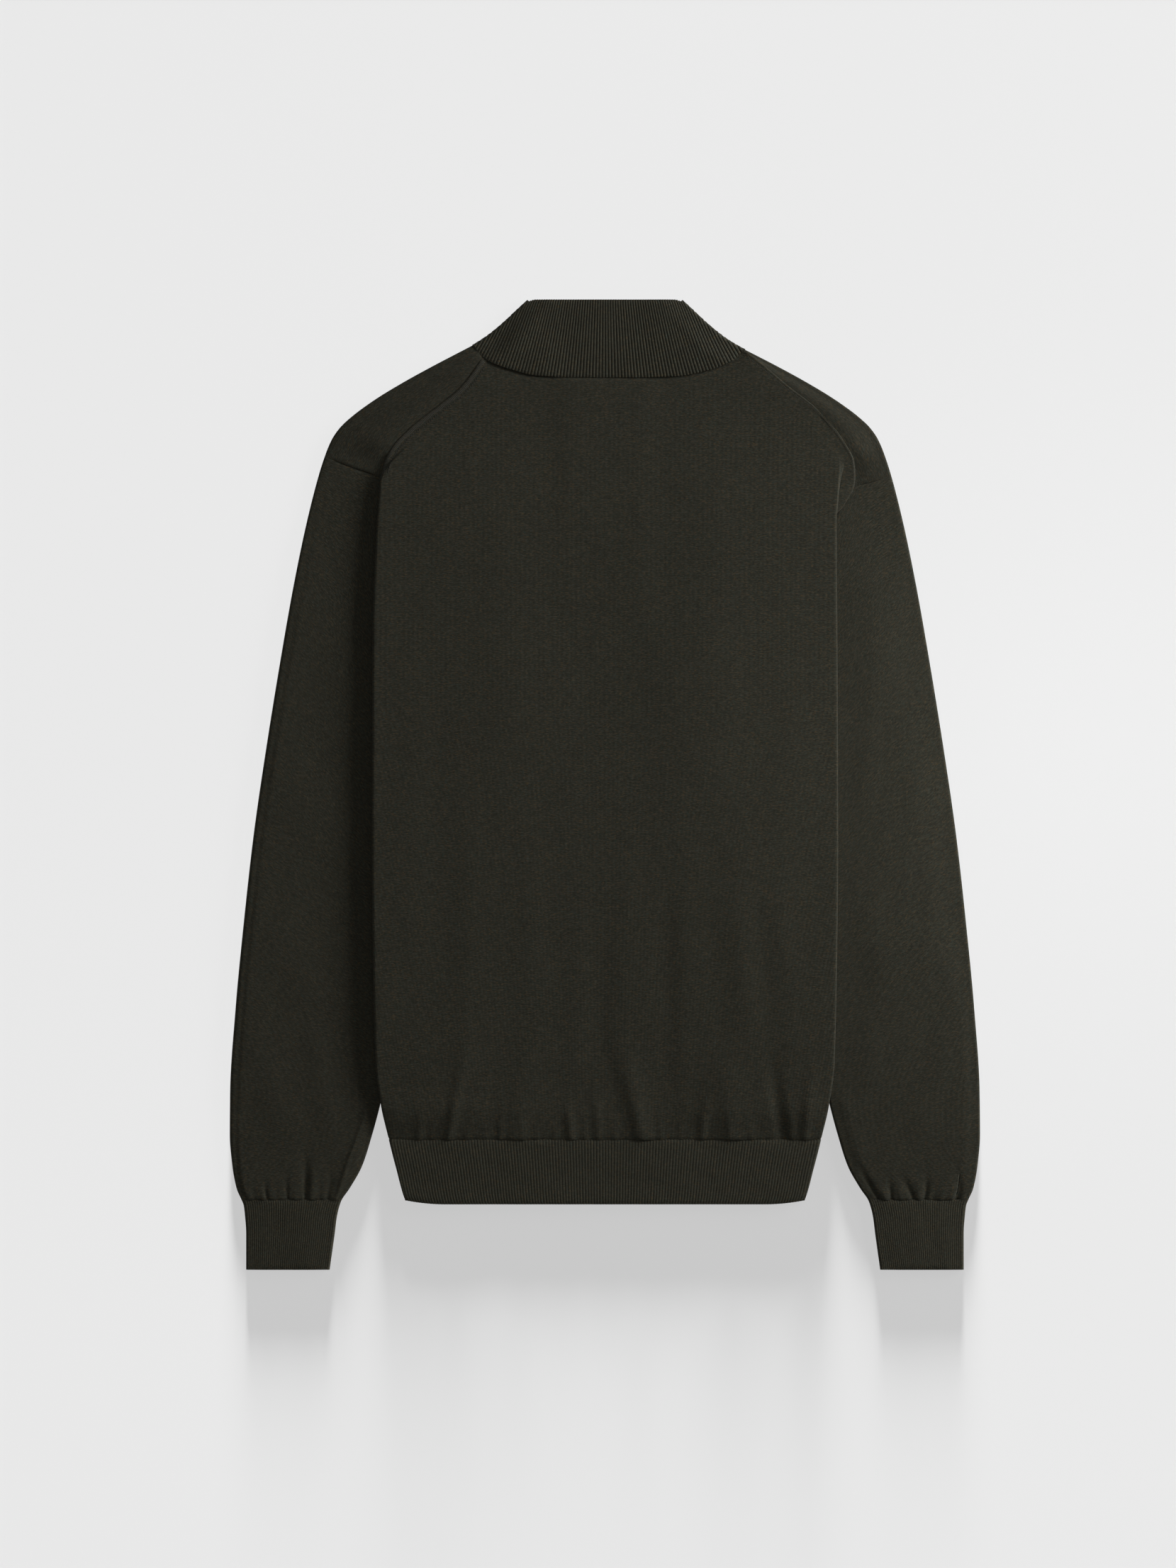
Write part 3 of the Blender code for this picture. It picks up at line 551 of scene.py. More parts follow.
class SweaterKnit(PropertyGroup):
    """Sizes and colours of the knitted cloth."""

    wall: number(
        "Cloth thickness",
        "Thickness of the knitted cloth",
        1.3 * MM,
        low=0.5 * MM,
        high=1.6 * MM,
        unit="LENGTH",
    )
    rib: number(
        "Rib height",
        "How far a rib stands out, and lies in between two ribs",
        0.3 * MM,
        high=0.5 * MM,
        unit="LENGTH",
    )
    gather: number("Gathers", "Depth of the gathers above the hem and cuffs", 1.0, high=2.0)
    fold: number("Folds", "Height of the long soft folds", 1.0, high=2.0)
    yarn: colour("Yarn", "Main colour of the yarn", (0.0281, 0.0269, 0.0196))
    light_fibre: colour("Light fibres", "The lighter fibres in the melange", (0.056, 0.0545, 0.040))
    dark_fibre: colour("Dark fibres", "The darker fibres in the melange", (0.0125, 0.0125, 0.0100))


class SweaterStage(PropertyGroup):
    """Floor, lights and camera."""

    floor: colour("Floor", "Colour of the floor", (0.031, 0.031, 0.031))
    glow: number("Floor glow", "How brightly the floor glows by itself", 0.553)
    key: number("Key light", "Power of the low soft light on the right", 154.0, unit="POWER")
    pool: number("Pool of light", "Power of the light on the right sleeve", 128.0, unit="POWER")
    fill: number("Fill light", "Power of the light overhead", 16.0, unit="POWER")
    sun: number("Low sun", "Strength of the low sun that lights only the floor", 675.0)
    around: number("Light all round", "Brightness of the surroundings", 0.175)
    distance: number(
        "Camera height",
        "Height of the camera above the floor",
        2.978,
        low=1.0,
        high=6.0,
        unit="LENGTH",
    )


def knit():
    return bpy.context.scene.sweater_knit


def through(rows, at, column=1):
    """Value at `at` of the smooth curve through one column of a table, over its first."""
    knots = np.array([row[0] for row in rows], float)
    values = np.array([row[column] for row in rows], float)
    if knots[0] > knots[-1]:
        knots, values = knots[::-1], values[::-1]
    rises = np.diff(values) / np.diff(knots)
    product = rises[:-1] * rises[1:]
    total = np.where(product > 0, rises[:-1] + rises[1:], 1.0)
    inside = np.where(product > 0, 2 * product / total, 0.0)
    slopes = np.concatenate([rises[:1], inside, rises[-1:]])
    at = np.clip(at, knots[0], knots[-1])
    start = np.clip(np.searchsorted(knots, at) - 1, 0, len(knots) - 2)
    span = knots[start + 1] - knots[start]
    t = (at - knots[start]) / span
    ends = values[start] * (1 + 2 * t) * (1 - t) ** 2 + values[start + 1] * t * t * (3 - 2 * t)
    return ends + span * t * (1 - t) * (slopes[start] * (1 - t) - slopes[start + 1] * t)


def ramp(value):
    """0 below 0, 1 above 1, and smooth between."""
    value = np.clip(value, 0.0, 1.0)
    return value * value * (3.0 - 2.0 * value)


def swell(distance, width):
    """1 in the middle of a fold or gather, fading to both sides."""
    return np.exp(-((distance / width) ** 2))


def half_width(y):
    return through(OUTLINE, y)


def body_side(side, y):
    return through(BODY_SIDE, y, 1 if side == LEFT else 2)


def lap(side, y):
    return through(LAP, y, 1 if side == LEFT else 2)


def above_hem(y):
    """0 below the hem's seam, 1 where nothing of the hem holds the body down."""
    return ramp((y - HEM_SEAM + 2.0) / HEM_FALL)


def cover(x, y):
    """How far a sleeve under the body lifts it: 0 on the ground, 1 over the sleeve."""
    across = np.abs(x)
    over_sleeve = ramp((across - through(SLEEVE_INNER, y) + LIFT_WIDTH + 2.0) / LIFT_WIDTH)
    below_armhole = ramp((through(LIFT_END, across) - y) / LIFT_FALL)
    return over_sleeve * below_armhole * above_hem(y)


def soft_cover(x, y):
    """The same for the upper layer, which comes down far more gently."""
    flat = 4.0
    over_sleeve = ramp((np.abs(x) - flat) / (through(SLEEVE_INNER, y) - flat))
    return over_sleeve * ramp((SHOULDER_LINE - y) / 100.0) * above_hem(y)


def over_placket(x, y, reach):
    """1 over the placket, fading to 0 at `reach` from the middle and just below its end."""
    beside = ramp((reach - np.abs(x)) / PLACKET_FALL)
    return beside * ramp((y - PLACKET_END + PLACKET_FALL) / PLACKET_FALL)


def lower(x, y):
    """Height of the middle of the body's lower layer."""
    placket = PLACKET_LIFT * over_placket(x, y, UNDER_REACH)
    return GROUND + SLEEVE_LIFT * cover(x, y) + placket


def upper(x, y):
    """Height of the middle of the body's upper layer."""
    hem_drop = HEM_DROP * ramp((HEM_SEAM - y) / 50.0)
    placket = PLACKET_SWELL * over_placket(x, y, OVER_REACH)
    lifted = soft_cover(x, y)
    loft = LOFT * (1.0 - lifted) * ramp((SHOULDER_LINE - y) / 80.0) * ramp((y - HEM_SEAM) / 60.0)
    rim = sum(high * swell(x - at, width) for at, width, high in RIMS)
    loft = loft + rim * ramp((RIM_TO - y) / RIM_FADE) * ramp((y - RIM_FROM) / RIM_FADE)
    return BODY_TOP + BODY_LIFT * lifted + loft + placket - hem_drop


def gathers(table, across, above):
    """Height of the gathers of a table at `across`, this far above their seam."""
    height = 0.0
    for at_seam, at_top, length, low_width, high_width, high in table:
        share = np.clip(above / length, 0.0, 1.0)
        axis = at_seam + (at_top - at_seam) * share
        wide = low_width + (high_width - low_width) * share
        fade = ramp((1.0 - share) * 1.25)
        height = height + high * fade * swell(across - axis, wide)
    return 0.85 * height * knit().gather


def folds(table, x, y):
    """Height of the long soft folds of a table."""
    height = 0.0
    for x0, y0, x1, y1, width, high in table:
        along = np.array([x1 - x0, y1 - y0])
        length = math.hypot(*along)
        unit = along / length
        t = ((x - x0) * unit[0] + (y - y0) * unit[1]) / length
        off = (x - x0) * unit[1] - (y - y0) * unit[0]
        ends = ramp((t + 0.15) / 0.4) * ramp((1.15 - t) / 0.4)
        height = height + high * ends * swell(off, width)
    return height * knit().fold


def ripple(kind, x, y, side=0):
    """Small unevenness of cloth: waves of several lengths and directions."""
    high, x_scale, y_scale, seed, size = UNEVEN[kind]
    x, y = x * x_scale, y * y_scale
    rng = np.random.default_rng(seed + side)
    height = 0.0
    for _ in range(14):
        angle = rng.uniform(0.0, math.pi)
        length = size * rng.uniform(0.5, 2.0)
        phase = rng.uniform(0.0, 2 * math.pi)
        wave = (x * math.cos(angle) + y * math.sin(angle)) * 2 * math.pi / length
        height = height + np.sin(wave + phase) / 3.7
    return high * height


def curve(points, per_segment):
    """Catmull-Rom curve through control points, along the first axis."""
    points = np.asarray(points, float)
    before, after = 2 * points[:1] - points[1:2], 2 * points[-1:] - points[-2:-1]
    padded = np.concatenate([before, points, after])
    made = []
    for k in range(1, len(points)):
        a, b, c, d = padded[k - 1 : k + 3]
        for step in range(per_segment):
            t = step / per_segment
            bend = (2 * a - 5 * b + 4 * c - d) * t * t + (3 * b - a - 3 * c + d) * t**3
            made.append(0.5 * (2 * b + (c - a) * t + bend))
    made.append(points[-1])
    return np.array(made)


def along(points, fractions):
    """Points at fractions of the length of a polyline."""
    steps = np.linalg.norm(np.diff(points, axis=0), axis=1)
    at = np.concatenate([[0.0], np.cumsum(steps)])
    return np.stack([np.interp(fractions * at[-1], at, points[:, k]) for k in range(3)], axis=-1)


def arc(points):
    """Distance along each row of a grid of points, from its first column."""
    steps = np.linalg.norm(np.diff(points, axis=1), axis=2)
    return np.concatenate([np.zeros((len(points), 1)), np.cumsum(steps, axis=1)], axis=1)


def outward(middle, closed, sign):
    """Unit normals of a grid of points, on the side that `sign` picks."""
    if closed:
        open_grid = middle[:, :-1]
        across = np.roll(open_grid, -1, axis=1) - np.roll(open_grid, 1, axis=1)
        across = np.concatenate([across, across[:, :1]], axis=1)
    else:
        across = np.gradient(middle, axis=1)
    normal = np.cross(across, np.gradient(middle, axis=0))
    return sign * normal / np.linalg.norm(normal, axis=-1, keepdims=True)


def added(operator, **settings):
    """A new object from one of Blender's add operators."""
    bpy.ops.object.select_all(action="DESELECT")
    operator(**settings)
    return bpy.context.object


def cloth(name, middle, stitches, surface, sign=1, closed=False, missing=None):
    """A piece of cloth from a grid of middle points, rows along the garment.

    stitches: wale and course of each point.  sign: 1 if columns x rows point outward.
    missing: which cells are left out.
    """
    rows, columns = middle.shape[:2]
    made = added(
        bpy.ops.mesh.primitive_grid_add,
        x_subdivisions=columns - 1,
        y_subdivisions=rows - 1,
        size=1.0,
    )
    made.name = made.data.name = name
    mesh = made.data
    mesh.vertices.foreach_set("co", (middle * MM).ravel())
    corners = np.empty(len(mesh.loops), np.int32)
    mesh.loops.foreach_get("vertex_index", corners)
    layer = mesh.uv_layers[0]
    layer.name = "stitches"
    layer.data.foreach_set("uv", stitches.reshape(-1, 2)[corners].ravel())
    if missing is not None:
        mesh.polygons.foreach_set("select", missing.ravel())
        mesh.update()
        bpy.ops.object.mode_set(mode="EDIT")
        bpy.ops.mesh.select_mode(type="FACE")
        bpy.ops.object.mode_set(mode="OBJECT")
        mesh.polygons.foreach_set("select", missing.ravel())
        bpy.ops.object.mode_set(mode="EDIT")
        bpy.ops.mesh.delete(type="FACE")
        bpy.ops.object.mode_set(mode="OBJECT")
    bpy.ops.object.mode_set(mode="EDIT")
    bpy.ops.mesh.select_all(action="SELECT")
    if closed:
        bpy.ops.mesh.remove_doubles(threshold=1e-6)
    if sign < 0:
        bpy.ops.mesh.flip_normals()
    bpy.ops.object.mode_set(mode="OBJECT")
    bpy.ops.object.transform_apply(location=True, rotation=True, scale=True)
    wall = made.modifiers.new("wall", "SOLIDIFY")
    wall.thickness = knit().wall
    wall.offset = 0.0
    bpy.ops.object.modifier_apply(modifier=wall.name)
    bpy.ops.object.shade_smooth()
    made.data.materials.clear()
    made.data.materials.append(surface)
    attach(made, "root")
    return made


def on_side(points, side):
    """Points made for the right side, mirrored if they belong on the left."""
    return points * np.array([side, 1.0, 1.0])


def seam_dip(kind, distance):
    """How far cloth dips toward a seam of this kind, at this distance."""
    depth, width = DIPS[kind]
    return depth * np.exp(-(np.abs(distance / width) ** 1.5))


def neck_seam(side, x):
    """Height of the collar's seam on top, from the middle to the turn of the fold."""
    fold_x, fold_y = collar_turn(side, 0.0)[-1, :2]
    rise = fold_y - through(NECKLINE[side], fold_x)
    turning = ramp((x - NECK_TURN_FROM) / (fold_x - NECK_TURN_FROM))
    return through(NECKLINE[side], x) + rise * turning


def back_edge(side, y):
    """Distances from the middle, and heights, of the back's wall from its flat top outward.

    Below the armhole it rolls round the side fold and laps under the body.  Above, it opens
    out until it lies flat up to the shoulder seam.
    """
    front = body_side(side, y) - WALL_HALF
    seam = last = through(BACK_SEAM[side], y) - SEAM / 2
    if side == LEFT and y > SHOULDER_FROM:
        front = seam - WALL_HALF
    elif side == LEFT:
        last = front - lap(side, y)
    else:
        out = ramp((y - OPENS_FROM) / OPENS_OVER)
        last = (front - lap(side, y)) * (1 - out) + seam * out
    top, low = upper(side * front, y), lower(side * front, y)
    radius = (top - low) / 2
    opened = min(max((last - front + radius) / (radius + OPENED_OUT), 0.0), 1.0)
    turn = front - radius + opened * (radius + OPENED_OUT)
    turn_z = low + opened * (OPENED_TURN_Z - low)
    last_z = lower(side * last, y) * (1 - opened) + OPENED_LAST_Z * opened
    bulge = ROUNDED * radius
    middle = (turn + last) / 2
    x = np.array([front - radius, front - bulge, front, front - bulge, turn, middle, last])
    z = np.array([top, top - bulge, top - radius, low + bulge, turn_z, 0.0, last_z])
    x[3] += opened * (bulge + OPENED_BULGE)
    z[3] += opened * ((top - radius + turn_z) / 2 - z[3])
    z[5] = lower(side * middle, y) * (1 - opened) + opened * (turn_z + last_z) / 2

    flatness = ramp((y - FLAT_FROM[side]) / (FLAT_AT - FLAT_FROM[side]))
    flat_x = seam - np.array(FLAT_EDGE)
    x = x + flatness * (flat_x - x)
    z = z + flatness * (upper(side * flat_x, y) - z)
    if side == LEFT and y > SHOULDER_FROM:
        x += seam - (1 - flatness) * WALL_HALF - x.max()
    return x, z


def smooth_edge(side, y):
    """back_edge as a smooth curve."""
    x, z = back_edge(side, y)
    made = curve(np.column_stack([x, z]), EDGE_STEPS)
    return made[:, 0], made[:, 1]


def spaced(start, end, near, far, grow=1.35):
    """Values from start to end, `near` apart at the start and growing up to `far` apart."""
    values, step = [start], near
    sign = 1.0 if end > start else -1.0
    while (end - values[-1]) * sign > step * 1.2:
        values.append(values[-1] + sign * step)
        step = min(step * grow, far)
    values.append(end)
    return values


def spaced_both(start, end, near, near_end, far):
    """Values from start to end, closer together at both ends than in the middle."""
    halfway = (start + end) / 2
    return spaced(start, halfway, near, far) + spaced(end, halfway, near_end, far)[-2::-1]


def back_rows(ys, across):
    """Rows of a wall that covers the body's top and wraps both sides, at the heights `ys`."""
    rows = []
    for y in ys:
        (left_x, left_z), (right_x, right_z) = (smooth_edge(side, y) for side in (LEFT, RIGHT))
        x = -left_x[0] + (right_x[0] + left_x[0]) * across
        row_x = np.concatenate([-left_x[:0:-1], x, right_x[1:]])
        row_z = np.concatenate([left_z[:0:-1], upper(x, y), right_z[1:]])
        rows.append(np.stack([row_x, np.full(row_x.shape, y), row_z], axis=-1))
    return np.array(rows)


def back_relief(x, y):
    """Gathers, folds and unevenness of the back."""
    inside = ramp((body_side(LEFT, y) - np.abs(x)) / 12.0)
    above = y - HEM_SEAM
    height = gathers(HEM_GATHERS, x, above) + folds(BACK_FOLDS, x, y)
    height = height + SWELL_HEIGHT * swell(above - SWELL_ABOVE, SWELL_WIDTH)
    height = height + ripple("back", x, y)
    height = height + ripple("back_hem", x, y) * ramp((60.0 - above) / 60.0)
    rolled = np.exp(-(np.abs((body_side(RIGHT, y) - x) / ROLL_WIDTH) ** 1.5))
    return height * inside + ROLL_HEIGHT * rolled * ramp((230.0 - y) / 20.0)


def plain_stitches(middle, first_edge):
    """Wales and courses of a body panel: by place on top, by length round its edges."""
    lengths = arc(middle)
    x, y = middle[..., 0], middle[..., 1]
    last_edge = middle.shape[1] - 1 - first_edge
    left, right = slice(first_edge), slice(last_edge + 1, None)
    wales = x.copy()
    for start, round_edge in ((first_edge, left), (last_edge, right)):
        from_top = lengths[:, round_edge] - lengths[:, start : start + 1]
        wales[:, round_edge] = x[:, start : start + 1] + from_top
    fan = 1.0 + 0.00028 * np.clip(y - 60.0, -400.0, 0.0)
    return np.stack([wales * fan / WALE, y / COURSE], axis=-1)


def band(distance, width, height):
    """A raised band this wide along an edge."""
    return height * ramp(distance / 0.6 + 0.4) * ramp((width - distance) / 1.4 + 0.5)


def shoulder_rows(shares, across):
    """Rows of the back from its straight part up to the collar's seam and shoulder seams."""
    tops = {side: BACK_SEAM[side][-1] for side in (LEFT, RIGHT)}
    rows = []
    for share in shares:
        (left_x, left_z), (right_x, right_z) = (
            smooth_edge(side, SHOULDER_FROM + share * (tops[side][0] - SHOULDER_FROM))
            for side in (LEFT, RIGHT)
        )
        x = -left_x[0] + (right_x[0] + left_x[0]) * across
        x = np.concatenate([-left_x[:0:-1], x, right_x[1:]])
        widest = {LEFT: left_x.max(), RIGHT: right_x.max()}
        neck_y = np.full(x.shape, NECKLINE[LEFT][0][1])
        for side in (LEFT, RIGHT):
            there = np.sign(x) == side
            neck_x = np.abs(x[there]) * tops[side][1] / widest[side]
            neck_y[there] = neck_seam(side, neck_x)
        y = SHOULDER_FROM + share * (neck_y + TUCK - SHOULDER_FROM)
        z = np.concatenate([left_z[:0:-1], upper(x, y)[EDGE:-EDGE], right_z[1:]])
        rows.append(np.stack([x, y, z], axis=-1))
    return np.array(rows)


def back_panel(surface):
    across = np.linspace(0.0, 1.0, 261)
    rise = spaced(HEM_SEAM + SEAM / 2, -180.0, 0.5, 2.6)
    rise += spaced(-180.0, SHOULDER_FROM, 2.6, 7.0)[1:]
    shares = 1.0 - np.array(spaced(0.0, 1.0, 0.006, 0.034))[::-1][1:]
    body = back_rows(rise, across)
    middle = np.concatenate([body, shoulder_rows(shares, across)])
    x, y = middle[..., 0], middle[..., 1]
    on_top = np.ones(middle.shape[1])
    on_top[:EDGE] = ramp(np.arange(EDGE) / EDGE * 2.0 - 1.0)
    on_top[-EDGE:] = on_top[:EDGE][::-1]
    middle[..., 2] += back_relief(x, y) * on_top
    normal = outward(middle, False, 1)
    # Rows of the straight part are too far from the neck to dip toward it.
    to_neck = np.concatenate([np.full(len(body), 1e3), (1.0 - shares) * SHOULDER_REACH])
    dip = seam_dip("back_hem", y - HEM_SEAM) + seam_dip("neck", to_neck)[:, None]
    lengths = arc(middle)
    shoulder = ramp((y - FLAT_FROM[RIGHT]) / 20.0)
    from_left, from_right = lengths, lengths[:, -1:] - lengths
    raised = band(from_left, *SHOULDER_BANDS[LEFT]) + band(from_right, *SHOULDER_BANDS[RIGHT])
    middle = middle - normal * (dip - shoulder * raised)[..., None]
    return cloth("back", middle, plain_stitches(middle, EDGE), surface)


def evenly(rows, pitch):
    """Rows of points respaced evenly, PER_RIB points to each rib."""
    lengths = [np.linalg.norm(np.diff(row, axis=0), axis=1).sum() for row in rows]
    count = round(float(np.median(lengths)) / pitch)
    return np.array([along(row, np.linspace(0.0, 1.0, count * PER_RIB + 1)) for row in rows])


def ribbed(name, middle, ys, surface, height, sign=1, closed=False, pressed=True, missing=None):
    """A ribbed strip: its ribs, PER_RIB points each, stand out from a grid of points.

    pressed: the ribs are lower where the cloth is pressed on the ground.
    """
    normal = outward(middle, closed, sign)
    phase = np.arange(middle.shape[1]) / PER_RIB
    wave = -np.cos(2 * math.pi * phase)
    wave = np.sign(wave) * np.abs(wave) ** 0.8
    relief = height * knit().rib / MM * wave[None, :]
    if pressed:
        relief = relief * (0.45 + 0.55 * ramp((middle[..., 2] - 1.2) / 1.2))
    relief = relief * (0.1 + 0.9 * ramp(np.abs(normal[..., 2]) / 0.95))
    middle = middle + normal * relief[..., None]
    wales = np.broadcast_to(phase * 2.0, middle.shape[:2])
    courses = np.broadcast_to(np.array(ys)[:, None] / COURSE, middle.shape[:2])
    stitches = np.stack([wales, courses], axis=-1)
    return cloth(name, middle, stitches, surface, sign, closed, missing)


def rounded_end(x, y):
    """How far the hem rises toward the two rounded corners of its lower edge."""
    corner = np.clip((np.abs(x) - 128.0) / 32.0, 0.0, 1.1)
    return HEM_ROUNDING * corner**2 * ramp((HEM_SEAM - y) / HEM_HEIGHT)


def hem_ys():
    """Heights of the hem's rows, closer to each other at its seam and its end."""
    return spaced_both(HEM_SEAM - SEAM / 2, HEM_END, 0.5, 0.5, 4.0)


def hem_back(surface):
    across = np.linspace(0.0, 1.0, 121)
    ys = hem_ys()
    rows = back_rows(ys, across)
    for row, y in zip(rows, ys):
        row[:, 1] += rounded_end(row[:, 0], y)
        inside = ramp((body_side(LEFT, y) - np.abs(row[:, 0])) / 6.0)
        on_top = row[:, 2] > 3.2
        row[:, 2] += inside * on_top * ripple("hem", row[:, 0], row[:, 1])
        row[:, 2] -= on_top * seam_dip("rib_seam", HEM_SEAM - y)
        row[:, 2] -= on_top * seam_dip("hem_end", y - HEM_END)
    return ribbed("hem_back", evenly(rows, HEM_PITCH), ys, surface, HEM_RIB)


def hem_front(surface):
    ys = hem_ys()
    rows = []
    for y in ys:
        side = body_side(LEFT, y) - WALL_HALF - lap(LEFT, y) - GAP
        x = np.linspace(-side, side, 61)
        rows.append(np.stack([x, y + rounded_end(x, y), lower(x, y)], axis=-1))
    return ribbed("hem_front", evenly(rows, HEM_PITCH), ys, surface, HEM_RIB, sign=-1)


def plan_unit(vector):
    return vector / np.linalg.norm(vector)


def fold_edge(point, towards, low, high):
    """Points round a fold whose outer face passes through `point`, from below to above."""
    radius = (high - low) / 2
    centre = point - towards * (radius + WALL_HALF)
    angles = np.radians(np.linspace(-90.0, 90.0, TURN_STEPS))
    plan = centre + towards * (radius * np.cos(angles))[:, None]
    return np.column_stack([plan, (low + high) / 2 + radius * np.sin(angles)])


def tube_row(outer, inner, across, top_z, below, slant=None, fold_rise=0.0):
    """A closed ring of middle points round a flattened tube: fold, top, fold, underside."""
    towards = plan_unit(outer - inner)
    slant = towards if slant is None else slant
    outer_fold = fold_edge(outer, slant, GROUND, SLEEVE_TOP + fold_rise)
    inner_fold = fold_edge(inner, -towards, GROUND, SLEEVE_TOP)[::-1]
    top = outer_fold[-1] + across[:, None] * (inner_fold[0] - outer_fold[-1])
    top[:, 2] = top_z
    under = outer_fold[0] + below[::-1, None] * (inner_fold[-1] - outer_fold[0])
    return np.concatenate([outer_fold[:-1], top, inner_fold[1:], under, outer_fold[:1]])


def armhole_line(side, start):
    """Plan points of a sleeve's upper edge from `start` inward, and their fractions."""
    points = np.array([start, *ARMHOLE[side][-2::-1]])
    steps = np.diff(points, axis=0)
    lengths = np.hypot(steps[:, 0], steps[:, 1])
    normals = np.column_stack([-steps[:, 1], steps[:, 0]]) / lengths[:, None]
    normals = np.concatenate([normals[:1], normals[:-1] + normals[1:], normals[-1:]])
    normals /= np.linalg.norm(normals, axis=1, keepdims=True)
    fractions = np.concatenate([[0.0], np.cumsum(lengths)]) / lengths.sum()
    corner_x = ARMHOLE_CORNER[side][0]
    out = np.where(points[:, 0] < corner_x - 0.1, -1.8, SEAM / 2)
    out = np.where(np.abs(points[:, 0] - corner_x) < 0.1, -0.8, out)
    return points + normals * out[:, None], fractions


def beside_body(side, distance, visible):
    """How far a sleeve's cloth rises beside the body, over the width that shows."""
    if side == LEFT:
        return LEFT_RISE * np.clip(distance / visible, 0.0, 1.0) ** 1.5
    return SLEEVE_CROWN * ramp((distance - 2.0) / 30.0)


def sleeve_rise(side, outer, x, y, in_from_outer, rounding):
    """How far a row of a sleeve's top rises, how far its outer fold does, and how free it is.

    The cloth is free, so that it can crease, where no body lies on it.
    """
    shown = SLEEVE_SHOWS_FROM
    beside = x - body_side(side, np.minimum(y, shown))
    visible = outer[0] - body_side(side, np.minimum(outer[1], shown))
    body_above = ramp((y + 262.0) / 20.0)
    climb = body_above * ramp((238.0 - y) / 100.0)
    crown = beside_body(side, beside, visible) * climb + SLEEVE_CROWN * (1 - body_above)
    crown = crown * ramp((ARMHOLE[side][-1][1] - y) / 60.0)
    fold_rise, soft = 0.0, 12.0 + 18.0 * ramp((y + 200.0) / 120.0)
    if side == LEFT:
        fold_rise, soft = 0.75 * crown[0] * ramp((outer[1] - CUFF_SEAM) / 60.0), 6.0
    crown = crown * ramp(rounding / soft)
    crown = np.maximum(crown, fold_rise * ramp((11.0 - in_from_outer) / 5.0))
    free = np.maximum(ramp((beside + 2.0) / 14.0), 1 - body_above) * ramp(rounding / 7.0)
    return crown, fold_rise, free


def sleeve_relief(side, x, y, in_from_outer, width):
    """Gathers, creases and unevenness of a sleeve, at these shares of its width."""
    cuff_width = half_width(CUFF_SEAM) - through(SLEEVE_INNER, CUFF_SEAM)
    relief = gathers(CUFF_GATHERS[side], in_from_outer * cuff_width, y - CUFF_SEAM)
    relief = relief + folds(SLEEVE_FOLDS[side], in_from_outer * width, y)
    relief = relief + ripple("sleeve", x, y, side)
    if side == LEFT:
        ridge = swell(x - through(UNDERARM_SEAM, y), 1.7)
        relief = relief + 0.7 * ridge * ramp((-244.0 - y) / 14.0)
    return relief


def sleeve(side, surface):
    """A sleeve laid flat, from the armhole to the cuff's seam."""
    outer_x, outer_y = ARMHOLE[side][-1]
    at_armhole = plan_unit(np.array(ARMHOLE[side][-1]) - np.array(ARMHOLE[side][-2]))
    start = (outer_x, outer_y) - at_armhole * SLEEVE_CORNER
    top_edge, edge_fractions = armhole_line(side, start)
    end = CUFF_SEAM + SEAM / 2
    across = np.unique(np.concatenate([np.linspace(0.0, 1.0, 101), edge_fractions]))
    below = np.unique(np.concatenate([np.linspace(0.0, 1.0, 31), edge_fractions]))[1:-1]
    turn = TURN_STEPS - 1
    ring = np.concatenate([np.zeros(turn), across, np.ones(turn), below[::-1], [0.0]])
    edge = np.column_stack([np.interp(ring, edge_fractions, top_edge[:, k]) for k in (0, 1)])
    straight_edge = top_edge[0] + ring[:, None] * (top_edge[-1] - top_edge[0])
    length = outer_y - end
    from_top = spaced(0.0, 0.8, 0.5 / length, 4.6 / length)
    from_cuff = spaced(0.0, 0.2, 0.5 / length, 2.6 / length)
    shares = np.concatenate([from_top, 1.0 - np.array(from_cuff)[-2::-1]])
    rows = []
    for share in shares:
        outer_at = outer_y - SEAM / 2 + share * (end - outer_y)
        inner_at = UNDERARM + share * (end - UNDERARM)
        outer = np.array([half_width(outer_at), outer_at])
        inner = np.array([through(SLEEVE_INNER, inner_at), inner_at])
        x = outer[0] + across * (inner[0] - outer[0])
        straight = outer[1] + across * (inner[1] - outer[1])
        width = outer[0] - inner[0]
        rounding = np.minimum(across, 1 - across) * width
        crown, fold_rise, free = sleeve_rise(side, outer, x, straight, across * width, rounding)
        relief = sleeve_relief(side, x, straight, across, width)
        for from_seam in (share * length, (1.0 - share) * length):
            relief = relief - seam_dip("sleeve", from_seam)
        bend = max(0.0, 1 - share / SLEEVE_BEND) ** 2
        slant = plan_unit(bend * at_armhole + (1 - bend) * plan_unit(outer - inner))
        top_z = SLEEVE_TOP + crown + relief * free
        row = tube_row(outer, inner, across, top_z, below, slant, fold_rise)
        row[:, :2] += bend * (edge - straight_edge)
        rows.append(on_side(row, side))
    middle = np.array(rows)
    courses = (outer_y - shares * length)[:, None] / COURSE * np.ones(len(ring))
    stitches = np.stack([arc(middle) / WALE, courses], axis=-1)
    return cloth(f"sleeve_{NAME[side]}_cloth", middle, stitches, surface, sign=side, closed=True)


